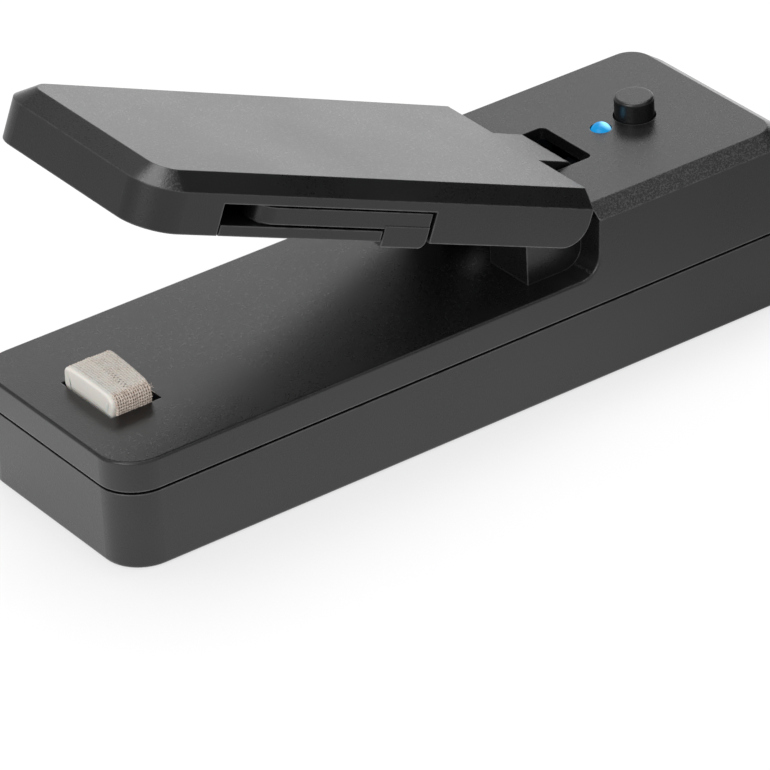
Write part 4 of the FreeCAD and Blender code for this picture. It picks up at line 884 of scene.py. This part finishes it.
@dataclass
class Arm(SubAssembly):
    """Pressing arm with its base plate, pad and screws."""

    hinge: Hinge = Hinge()
    screw_xs: Span = (-50.6 * MM, 4.6 * MM)
    screw_y: float = 11.6 * MM
    screw: Screw = Screw(head=3.0 * MM, head_height=0.8 * MM, shank=1.6 * MM, length=4.3 * MM)
    head_low: float = 18.35 * MM

    def build(self) -> None:
        """Makes the arm screws at the arm's open rest."""
        shut = paired(self.screw_xs, self.screw_y, self.head_low + self.screw.head_height / 2)
        places = tuple(self.hinge.opened(place) for place in shut)
        ScrewSet("arm_screw_set", "arm_screws", Body.ARM, self.screw, places,
                 self.hinge.angle).build(BLACK_STEEL)

    def dress(self) -> None:
        """Paints the arm's CAD nodes."""
        self.coat(BLACK_CASE, "arm_shell", "arm_base")
        self.coat(SILICONE, "anvil_pad")


@dataclass
class Cutter(SubAssembly):
    """Film cutter that swings out of the arm, and the hinge works beside it."""

    def build(self) -> None:
        """Has nothing to add to the CAD nodes."""

    def dress(self) -> None:
        """Paints the lever, the blade, the pins and the return spring."""
        self.coat(LEVER, "cutter_lever")
        self.coat(BLADE, "cutter_blade")
        self.coat(STEEL, "cutter_pin", "hinge_pin")
        self.coat(SPRING, "return_spring")


@dataclass
class Weave:
    """Geometry Nodes tree of a coated plain weave that lies along its host curve.

    Threads and coat are laid out flat, with Y along the path and Z off the cloth, and then bent to the path.
    """

    thread_sides: int = 8
    points_per_pitch: float = 4.0
    stray_pitches: float = 0.4
    hairs: int = 9
    hair_sides: int = 5
    hair_radius: float = 0.03 * MM
    hair_lean: Tuple[Triple, Triple] = ((0.0, -0.9, -1.2), (0.0, 0.5, 1.2))
    hair_reach: Span = (0.1, 1.0)
    tuft_pitches: float = 1.5
    hair_pitches: float = 0.2
    coat_grid: Tuple[int, int] = (72, 120)
    coat_fade: float = 1.2 * MM
    coat_sink: float = -1.2
    flange_fade: float = 0.8 * MM
    flange_far: Span = (4.2 * MM, 5 * MM)
    flange_share: float = 0.5
    flange_inset: float = 0.04 * MM

    def __post_init__(self) -> None:
        """Makes the tree with its named inputs."""
        self.tree, self.wire, self.source, self.sink = new_group(
            "draped_weave", "GeometryNodeTree",
            [("Path", GEOMETRY, None), ("Width", FLOAT, 6.4 * MM), ("Length", FLOAT, 19 * MM),
             ("Pitch", FLOAT, 0.42 * MM), ("Lift", FLOAT, 0.06 * MM), ("Thread Radius", FLOAT, 0.21 * MM),
             ("Flatness", FLOAT, 0.45), ("Ribbon Width", FLOAT, 0.85 * MM), ("Bare Near", FLOAT, 5 * MM),
             ("Bare Far", FLOAT, 15 * MM), ("Coat Lift", FLOAT, 0.2 * MM), ("Ridge", FLOAT, 0.08 * MM),
             ("Skew", FLOAT, 0.9 * MM), ("Fray", FLOAT, 0.9 * MM), ("Edge Round", FLOAT, 0.4 * MM),
             ("Edge Drop", FLOAT, 2.2 * MM), ("Edge Gap", FLOAT, 0.12 * MM),
             ("Front Trim", FLOAT, 0.5 * MM), ("Jitter", FLOAT, 0.16 * MM), ("Seed", "NodeSocketInt", 7),
             ("Yarn", MATERIAL, None), ("Coat", MATERIAL, None)],
            [("Geometry", GEOMETRY)])
        self.half = self.wire.times(self.source["Width"], 0.5)

    def axes(self) -> Any:
        """The flat coordinates; returns the three sockets."""
        return self.wire.axes(self.wire.shape("InputPosition"))

    def lines(self, along_path: bool) -> Socket:
        """Lays one set of wavy threads.

        Args:
            along_path: Whether they run along the path or across it.

        Returns:
            Their curves.
        """
        wire, source, half = self.wire, self.source, self.half
        length, pitch, trim = source["Length"], source["Pitch"], source["Front Trim"]
        woven, front = wire.minus(source["Width"], trim), wire.minus(trim, half)
        spread, run = (woven, length) if along_path else (length, woven)
        count = wire.maths("ROUND", wire.over(spread, pitch))
        step = wire.over(spread, count)
        first = wire.times(step, 0.5)
        if along_path:
            start, shift = wire.point(x=wire.plus(first, front)), wire.point(x=step)
            begin, end = ORIGIN, wire.point(y=run)
        else:
            start, shift = wire.point(y=first), wire.point(y=step)
            begin, end = wire.point(x=front), wire.point(x=half)
        rows = wire.shape("MeshLine", {"Count": count, "Start Location": start, "Offset": shift})
        strand = wire.shape("CurvePrimitiveLine", {"Start": begin, "End": end})
        points = wire.times(wire.over(run, pitch), self.points_per_pitch)
        fine = wire.shape("ResampleCurve", {"Curve": strand, "Count": points})
        copies = wire.shape("InstanceOnPoints", {"Points": rows, "Instance": fine})
        solid = wire.shape("RealizeInstances", {"Geometry": copies})
        x, y, _ = self.axes()
        across, down = wire.over(wire.minus(x, front), pitch), wire.over(y, pitch)
        moving, fixed = (down, across) if along_path else (across, down)
        turn = wire.plus(wire.minus(moving, 0.5), wire.maths("FLOOR", fixed))
        wave = wire.maths("COSINE", wire.times(turn, math.pi))
        rise = wire.times(wire.times(wave, source["Lift"]), 1.0 if along_path else -1.0)
        return wire.shape("SetPosition", {"Geometry": solid, "Offset": wire.point(z=rise)})

    def threads(self) -> Socket:
        """Weaves both sets of threads and lets them stray a little.

        Returns:
            Their mesh.
        """
        wire, source = self.wire, self.source
        section = wire.shape("CurvePrimitiveCircle", {"Resolution": self.thread_sides,
                                                      "Radius": source["Thread Radius"]})
        squash = wire.point(source["Flatness"], 1.0, 1.0)
        oval = wire.shape("Transform", {"Geometry": section, "Scale": squash})
        both = wire.join(self.lines(True), self.lines(False))
        often = wire.over(self.stray_pitches, source["Pitch"])
        spot = wire.vector("SCALE", wire.shape("InputPosition"), often)
        stray = wire.add("ShaderNodeTexNoise", {"Vector": spot, "Scale": 1.0, "Detail": 1.0}).outputs[1]
        centred = wire.vector("SUBTRACT", stray, (0.5, 0.5, 0.5))
        astray = wire.vector("SCALE", centred, source["Jitter"])
        uneven = wire.shape("SetPosition", {"Geometry": both, "Offset": astray})
        upright = wire.shape("SetCurveNormal", {"Curve": uneven}, mode="Z_UP")
        return wire.shape("CurveToMesh", {"Curve": upright, "Profile Curve": oval, "Fill Caps": True})

    def frays(self) -> Socket:
        """Draws the loose fibre ends at the rear edge.

        Returns:
            Their mesh.
        """
        wire, source = self.wire, self.source
        pitch, seed = source["Pitch"], source["Seed"]
        tuft = wire.minus(source["Bare Near"], wire.times(pitch, self.tuft_pitches))
        roots = wire.shape("MeshLine", {"Count": self.hairs, "Start Location": wire.point(self.half, tuft),
                                        "Offset": wire.point(y=wire.times(pitch, self.hair_pitches))})
        hair = wire.shape("CurvePrimitiveLine", {"Start": ORIGIN, "End": wire.point(x=source["Fray"])})
        open_edges = wire.add("FunctionNodeRandomValue", {0: self.hair_lean[0], 1: self.hair_lean[1], "Seed": seed},
                        data_type="FLOAT_VECTOR").outputs[0]
        reach = wire.add("FunctionNodeRandomValue", {2: self.hair_reach[0], 3: self.hair_reach[1],
                                                     "Seed": seed}, data_type="FLOAT").outputs[1]
        hairs = wire.shape("InstanceOnPoints", {"Points": roots, "Instance": hair, "Rotation": open_edges,
                                                "Scale": reach})
        loose = wire.shape("RealizeInstances", {"Geometry": hairs})
        thin = wire.shape("CurvePrimitiveCircle", {"Resolution": self.hair_sides, "Radius": self.hair_radius})
        return wire.shape("CurveToMesh", {"Curve": loose, "Profile Curve": thin, "Fill Caps": True})

    def coat(self) -> Socket:
        """Lays the coat, which sinks into the weave at both ends and rolls over the front edge.

        Returns:
            Its mesh.
        """
        wire, source = self.wire, self.source
        length, lift, near, far = (source[name] for name in ("Length", "Coat Lift", "Bare Near", "Bare Far"))
        roll, gap = source["Edge Round"], source["Edge Gap"]
        quarter = wire.times(roll, math.pi / 2)
        flange = wire.plus(wire.minus(quarter, roll), wire.plus(source["Edge Drop"], gap))
        skin = wire.shape("MeshGrid", {
            "Size X": wire.plus(source["Width"], flange), "Size Y": length,
            "Vertices X": self.coat_grid[0], "Vertices Y": self.coat_grid[1]})
        middle = wire.point(wire.times(flange, -0.5), wire.times(length, 0.5))
        skin_set = wire.shape("Transform", {"Geometry": skin, "Translation": middle})
        x, y, _ = self.axes()
        covered = wire.times(wire.ramp(y, near, wire.plus(near, self.coat_fade)),
                             wire.ramp(y, wire.plus(far, self.coat_fade), far))
        rise = wire.between(covered, wire.times(lift, self.coat_sink), lift)
        begin = wire.minus(roll, wire.plus(self.half, gap))
        past = wire.maths("MAXIMUM", wire.minus(begin, x), 0.0)
        bend = wire.maths("MINIMUM", wire.over(past, roll), math.pi / 2)
        saved = wire.minus(past, wire.times(roll, wire.maths("SINE", bend)))
        arc_drop = wire.times(roll, wire.minus(1.0, wire.maths("COSINE", bend)))
        top = wire.times(wire.ramp(y, near, wire.plus(near, self.flange_fade)),
                         wire.ramp(wire.minus(length, y), *self.flange_far))
        fall = wire.times(wire.maths("MAXIMUM", wire.minus(past, quarter), 0.0),
                          wire.between(top, self.flange_share, 1.0))
        inward = wire.plus(saved, wire.between(top, self.flange_inset, 0.0))
        offset = wire.point(x=inward, z=wire.minus(rise, wire.plus(arc_drop, fall)))
        return wire.shape("SetPosition", {"Geometry": skin_set, "Offset": offset})

    def drape(self, flat: Socket) -> Socket:
        """Bends the flat cloth to the path, with a ridge over the ribbon and a slanted rear edge.

        Args:
            flat: The flat cloth.

        Returns:
            The bent cloth.
        """
        wire, source = self.wire, self.source
        x, y, z = self.axes()
        path = wire.add("GeometryNodeSampleCurve", {"Curves": source["Path"], "Length": y}, mode="LENGTH",
                        use_all_curves=True).outputs
        away = wire.vector("CROSS_PRODUCT", (1.0, 0.0, 0.0), path["Tangent"])
        ridge = wire.ramp(wire.absolute(x), source["Ribbon Width"], 0.0, 0.0, source["Ridge"])
        out = wire.vector("SCALE", away, wire.plus(z, ridge))
        behind = wire.over(wire.plus(x, self.half), source["Width"])
        short = wire.ramp(y, source["Bare Near"], source["Bare Far"], source["Skew"], 0.0, False)
        side = wire.point(x=wire.minus(x, wire.times(behind, short)))
        bent = wire.vector("ADD", wire.vector("ADD", path["Position"], out), side)
        return wire.shape("SetPosition", {"Geometry": flat, "Position": bent})

    def build(self) -> bpy.types.NodeTree:
        """Puts threads, loose ends and coat together.

        Returns:
            The finished tree.
        """
        wire, source = self.wire, self.source
        yarns = wire.shape("SetMaterial", {"Geometry": wire.join(self.threads(), self.frays()),
                                           "Material": source["Yarn"]})
        coat = wire.shape("SetMaterial", {"Geometry": self.coat(), "Material": source["Coat"]})
        smooth = wire.shape("SetShadeSmooth", {"Geometry": self.drape(wire.join(yarns, coat))})
        wire.feed(self.sink["Geometry"], wire.shape("RealizeInstances", {"Geometry": smooth}))
        return self.tree


@dataclass
class Heater(SubAssembly):
    """Heated pad: white block, ribbon, terminals and the woven cloth over them."""

    x: float = -45.6 * MM
    block_half: float = 5.1 * MM
    crown_z: float = 18.25 * MM
    crown_radius: float = 20.333 * MM
    crown_shares: Tuple[float, ...] = (-0.88, -0.6, -0.3, 0.0, 0.3, 0.6, 0.88)
    cloth_off: float = 0.46 * MM
    cloth_crown: float = 0.3
    cloth_width: float = 6.9 * MM
    bare_near: float = 4.6 * MM
    bare_far: float = 2.5 * MM
    skew: float = 0.95 * MM
    foot_z: float = 13.7 * MM
    deck_z: float = 16.0 * MM
    near_bulge: Tuple[Span, ...] = ((0.0, -MM), (0.2 * MM, 0.1 * MM), (0.42 * MM, 1.1 * MM),
                                    (0.15 * MM, 2.3 * MM))
    far_bulge: Tuple[Span, ...] = ((-0.1 * MM, 2.1 * MM), (0.0, 0.8 * MM))
    path_steps: int = 10

    def path(self) -> bpy.types.Object:
        """Draws the line of the cloth over the crown and down both ends.

        Returns:
            The curve.
        """
        edge = self.block_half + self.cloth_off
        places = [(-edge, self.foot_z)]
        places += [(-edge - out, self.deck_z + up) for out, up in self.near_bulge]
        for share in self.crown_shares:
            y = share * self.block_half
            drop = self.crown_radius - math.sqrt(self.crown_radius ** 2 - y ** 2)
            places.append((y, self.crown_z - drop * self.cloth_crown + self.cloth_off))
        places += [(edge + out, self.deck_z + up) for out, up in self.far_bulge]
        places.append((edge, self.foot_z))
        curve = bpy.data.curves.new("heater_weave", "CURVE")
        curve.dimensions = "3D"
        spline = curve.splines.new("NURBS")
        spline.points.add(len(places) - 1)
        for point, (y, z) in zip(spline.points, places):
            point.co = (self.x, y, z, 1.0)
        spline.order_u = 3
        spline.use_endpoint_u = True
        spline.resolution_u = self.path_steps
        return link_piece("heater_weave", curve)

    def build(self) -> None:
        """Makes the woven cloth that replaces the CAD strip."""
        path = self.path()
        length = path.data.splines[0].calc_length()
        piece = grow(path, Weave().build(), {
            "Width": self.cloth_width, "Length": length, "Bare Near": self.bare_near,
            "Bare Far": length - self.bare_far, "Skew": self.skew, "Yarn": material_of(YARN),
            "Coat": material_of(COAT)})
        settle(piece, Body.BASE, Slot.CLOTH, "heater_cloth")

    def dress(self) -> None:
        """Paints the block, the ribbon and the terminals."""
        self.coat(WHITE_WARE, "heater_block")
        self.coat(RIBBON, "heating_ribbon")
        self.coat(BRASS, "heater_terminals")


@dataclass
class Controls(SubAssembly):
    """Power button, its switch and the indicator."""

    lamp: Triple = (35.5 * MM, 0.0, 26.4 * MM)
    lamp_highlight: Triple = (0.95 * MM, -0.5 * MM, 0.25 * MM)
    lamp_reach: float = 1.5 * MM
    lamp_strength: float = 0.85

    def build(self) -> None:
        """Has nothing to add to the CAD nodes."""

    def dress(self) -> None:
        """Paints the button, the switch and the lamp."""
        self.coat(BUTTON, "power_button")
        self.coat(SWITCH, "switch_stem", "push_switch")
        self.coat(SPRING, "button_spring")
        # The lens centre lies off the lamp, where the painted highlight sits.
        centre = tuple(base + aside for base, aside in zip(self.lamp, self.lamp_highlight))
        lens = Lens("lit_lens", (0.0, 0.04, 0.12, 1.0), (0.0, 0.3, 0.66, 1.0), (0.45, 0.85, 0.95, 1.0),
                    centre, self.lamp_reach, self.lamp_strength)
        self.coat(lens, "indicator_lens")
        self.coat(TIN, "indicator_legs")


@dataclass
class Electronics(SubAssembly):
    """Circuit board, battery, leads and what is soldered on."""

    screw_xs: Span = (37.7 * MM, 51.3 * MM)
    screw_y: float = 6.6 * MM
    screw: Screw = Screw(head=3.0 * MM, head_height=0.8 * MM, shank=1.6 * MM, length=4.6 * MM)
    board_low: float = 13.78 * MM
    pad_bulge: float = 0.264 * MM
    pad_corner: float = 0.35
    pad_levels: int = 7
    pad_sides: int = 64

    def build(self) -> None:
        """Makes the board screws and the foam pad under the battery."""
        places = paired(self.screw_xs, self.screw_y, self.board_low - self.screw.head_height / 2)
        ScrewSet("board_screw_set", "board_screws", Body.BASE, self.screw, places).build(STEEL)
        pad = self.foam_pad()
        paint(pad, FOAM)
        settle(pad, Body.BASE, Slot.FOAM, "battery_pad")

    def foam_pad(self) -> bpy.types.Object:
        """Makes a foam slab whose edges bulge between floor and battery.

        Returns:
            The slab.
        """
        low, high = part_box("battery_pad")
        centre, half = (low + high) / 2, (high - low) / 2
        levels, sides = self.pad_levels, self.pad_sides
        points: List[Triple] = []
        for level in range(levels):
            rise = -1 + 2 * level / (levels - 1)
            inset = self.pad_bulge * rise * rise
            for side in range(sides):
                angle = 2 * math.pi * side / sides
                corner = [math.copysign(abs(part) ** self.pad_corner, part) * (reach - inset)
                          for part, reach in ((math.cos(angle), half.x), (math.sin(angle), half.y))]
                points.append((centre.x + corner[0], centre.y + corner[1], centre.z + rise * half.z))
        faces: List[Tuple[int, ...]] = [tuple(reversed(range(sides)))]
        faces.append(tuple((levels - 1) * sides + side for side in range(sides)))
        for level in range(levels - 1):
            low_row, high_row = level * sides, (level + 1) * sides
            for side in range(sides):
                ahead = (side + 1) % sides
                faces.append((low_row + side, low_row + ahead, high_row + ahead, high_row + side))
        mesh = bpy.data.meshes.new("battery_foam")
        mesh.from_pydata(points, [], faces)
        mesh.update()
        return link_piece("battery_foam", mesh)

    def dress(self) -> None:
        """Paints the board, the battery and the leads."""
        self.coat(BOARD, "circuit_board")
        self.coat(SWITCH, "trigger_switch")
        self.coat(STEM, "trigger_stem")
        self.coat(TIN, "charge_socket")
        self.coat(CHIP, "board_chips")
        self.coat(FOIL, "battery_cell")
        self.coat(RED_LEAD, "battery_lead_red")
        self.coat(BLACK_LEAD, "battery_lead_black")
        self.coat(WHITE_LEAD, "heater_lead_far", "heater_lead_near")


@dataclass(frozen=True)
class Softbox:
    """A rectangular lamp that faces a point on the object."""

    name: str
    place: Triple
    size: Span
    power: float
    aim: Triple = (0.0, 0.0, 0.02)

    def hang(self) -> None:
        """Puts the lamp in the scene, out of the camera's sight."""
        data = bpy.data.lights.new(self.name, "AREA")
        data.shape = "RECTANGLE"
        data.size, data.size_y = self.size
        data.energy = self.power
        lamp = link_piece(self.name, data)
        lamp.location = self.place
        heading = Vector(self.aim) - Vector(self.place)
        lamp.rotation_euler = heading.to_track_quat("-Z", "Y").to_euler()
        lamp.visible_camera = False


@dataclass
class Studio:
    """White room: camera, softboxes, world and floor.

    The room and the floor are plain for the camera, and graded where glossy surfaces mirror them.
    """

    eye: Triple = (-0.38302, -0.55618, 0.40094)
    right: Triple = (0.80735, -0.58801, -0.04932)
    up: Triple = (0.33567, 0.38893, 0.85792)
    back: Triple = (-0.48529, -0.70920, 0.51139)
    lens: float = 271.4
    sensor: float = 36.0
    ambient: float = 0.7
    front_wall: float = 0.72
    high_backdrop: float = 0.3
    left_backdrop: float = 0.5
    behind_span: Span = (0.22, 0.5)
    low_span: Span = (0.64, 0.47)
    beside_span: Span = (0.38, 0.65)
    beside_top: Span = (0.85, 0.65)
    right_span: Span = (0.1, 0.45)
    floor_half: float = 3.0
    floor_gap: float = 0.05 * MM
    floor_colour: Colour = (0.82, 0.82, 0.82, 1.0)
    floor_roughness: float = 0.9
    shown_colour: Colour = (0.3, 0.3, 0.3, 1.0)
    shown_glow: float = 0.62
    pool_shift: Triple = (0.05, 0.0, 0.0)
    pool_scale: Triple = (0.4, 1.0, 1.0)
    pool_span: Span = (0.026, 0.075)
    pool_rim: float = 0.45
    dim_span: Span = (0.01, 0.08)
    dim_share: float = 0.5
    rear_x: Span = (0.0, 0.06)
    rear_y: Span = (-0.02, 0.02)
    softboxes: Tuple[Softbox, ...] = (
        Softbox("key_above", (0.18, 0.18, 0.86), (0.5, 0.5), 4.2),
        Softbox("rear_low", (1.0, 0.75, 0.15), (0.75, 0.5), 1.15),
        Softbox("rear_high", (0.62, 0.84, 0.69), (0.6, 0.3), 0.72),
        Softbox("left_fill", (-0.8, -0.35, 0.62), (0.7, 0.7), 5.4),
    )

    def seen(self, wire: Wiring) -> Socket:
        """Tells the rays that show a surface from those that light others.

        Args:
            wire: Wiring of the world or the floor.

        Returns:
            One for camera, glossy and transmission rays.
        """
        rays = wire.add("ShaderNodeLightPath").outputs
        either = wire.maths("MAXIMUM", rays["Is Camera Ray"], rays["Is Glossy Ray"])
        return wire.maths("MAXIMUM", either, rays["Is Transmission Ray"])

    def mirrored(self, wire: Wiring, plain: Feed, graded: Feed) -> Socket:
        """A value that differs for glossy rays; returns it."""
        return wire.between(wire.add("ShaderNodeLightPath").outputs["Is Glossy Ray"], plain, graded)

    def camera(self) -> None:
        """Stands the camera at the photograph's view."""
        data = bpy.data.cameras.new("photo_view")
        data.lens = self.lens
        data.sensor_width = self.sensor
        camera = link_piece("photo_view", data)
        turn = Matrix((self.right, self.up, self.back)).transposed().to_4x4()
        camera.matrix_world = Matrix.Translation(self.eye) @ turn
        bpy.context.scene.camera = camera

    def world(self) -> None:
        """Lights the room softly and shows it white."""
        world = bpy.data.worlds.new("white_room")
        world.use_nodes = True
        world.cycles.sampling_method = "NONE"
        bpy.context.scene.world = world
        wire = Wiring(world.node_tree)
        x, y, z = wire.axes(wire.add("ShaderNodeTexCoord").outputs["Generated"])
        behind = wire.ramp(y, *self.behind_span)
        beside = wire.times(wire.ramp(x, *self.beside_span), wire.minus(1.0, behind))
        beside = wire.times(beside, wire.ramp(z, *self.beside_top))
        lit = wire.ramp(x, *self.right_span, self.left_backdrop, 1.0)
        backdrop = wire.between(wire.ramp(z, *self.low_span), self.high_backdrop, lit)
        wall = wire.times(wire.between(behind, self.front_wall, backdrop), wire.minus(1.0, beside))
        tone = self.mirrored(wire, 1.0, wall)
        grey = wire.add("ShaderNodeCombineColor", {0: tone, 1: tone, 2: tone}).outputs[0]
        wire.fill(world.node_tree.nodes["Background"], {
            "Color": grey, "Strength": wire.between(self.seen(wire), self.ambient, 1.0)})

    def floor(self) -> None:
        """Lays the pale floor."""
        half = self.floor_half
        corners = [(-half, -half, 0), (half, -half, 0), (half, half, 0), (-half, half, 0)]
        mesh = bpy.data.meshes.new("floor")
        mesh.from_pydata(corners, [], [(0, 1, 2, 3)])
        floor = link_piece("floor", mesh)
        floor.location.z = -self.floor_gap
        floor.data.materials.append(self.floor_material())

    def floor_material(self) -> bpy.types.Material:
        """Makes the floor's material, which glows where it is seen and keeps the shadow.

        Returns:
            The material.
        """
        material, wire, shader = new_material("pale_floor")
        wire.fill(shader, {"Base Color": self.floor_colour, "Roughness": self.floor_roughness,
                           "Specular IOR Level": 0.0})
        place = wire.place()
        x, y, _ = wire.axes(place)
        pool = wire.vector("MULTIPLY", wire.vector("ADD", place, self.pool_shift), self.pool_scale)
        slope = wire.ramp(wire.reach(pool), *self.pool_span, 1.0, self.pool_rim, False)
        slope = wire.times(slope, wire.ramp(x, *self.dim_span, 1.0, self.dim_share))
        rear = wire.times(wire.ramp(x, *self.rear_x), wire.ramp(y, *self.rear_y))
        level = self.mirrored(wire, self.shown_glow, wire.between(rear, slope, 1.0))
        pale = wire.add("ShaderNodeBsdfDiffuse", {"Color": self.shown_colour})
        glow = wire.add("ShaderNodeEmission", {"Color": (1.0, 1.0, 1.0, 1.0), "Strength": level})
        shown = wire.add("ShaderNodeAddShader", {0: pale.outputs[0], 1: glow.outputs[0]})
        mixed = wire.add("ShaderNodeMixShader", {0: self.seen(wire), 1: shader.outputs[0],
                                                 2: shown.outputs[0]})
        wire.feed(material.node_tree.nodes["Material Output"].inputs["Surface"], mixed.outputs[0])
        material.cycles.emission_sampling = "NONE"
        return material

    def set_up(self) -> None:
        """Builds the whole studio."""
        bpy.context.scene.view_settings.view_transform = "Standard"
        self.camera()
        self.world()
        self.floor()
        for softbox in self.softboxes:
            softbox.hang()


def main() -> None:
    """Loads the frame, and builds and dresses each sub-assembly."""
    logging.basicConfig(level=logging.INFO, format="%(name)s %(message)s")
    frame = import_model()
    Studio().set_up()
    for kind in (Case, Arm, Cutter, Heater, Controls, Electronics):
        group = kind(frame["nodes"])
        group.build()
        group.dress()


if __name__ == "__main__":
    main()
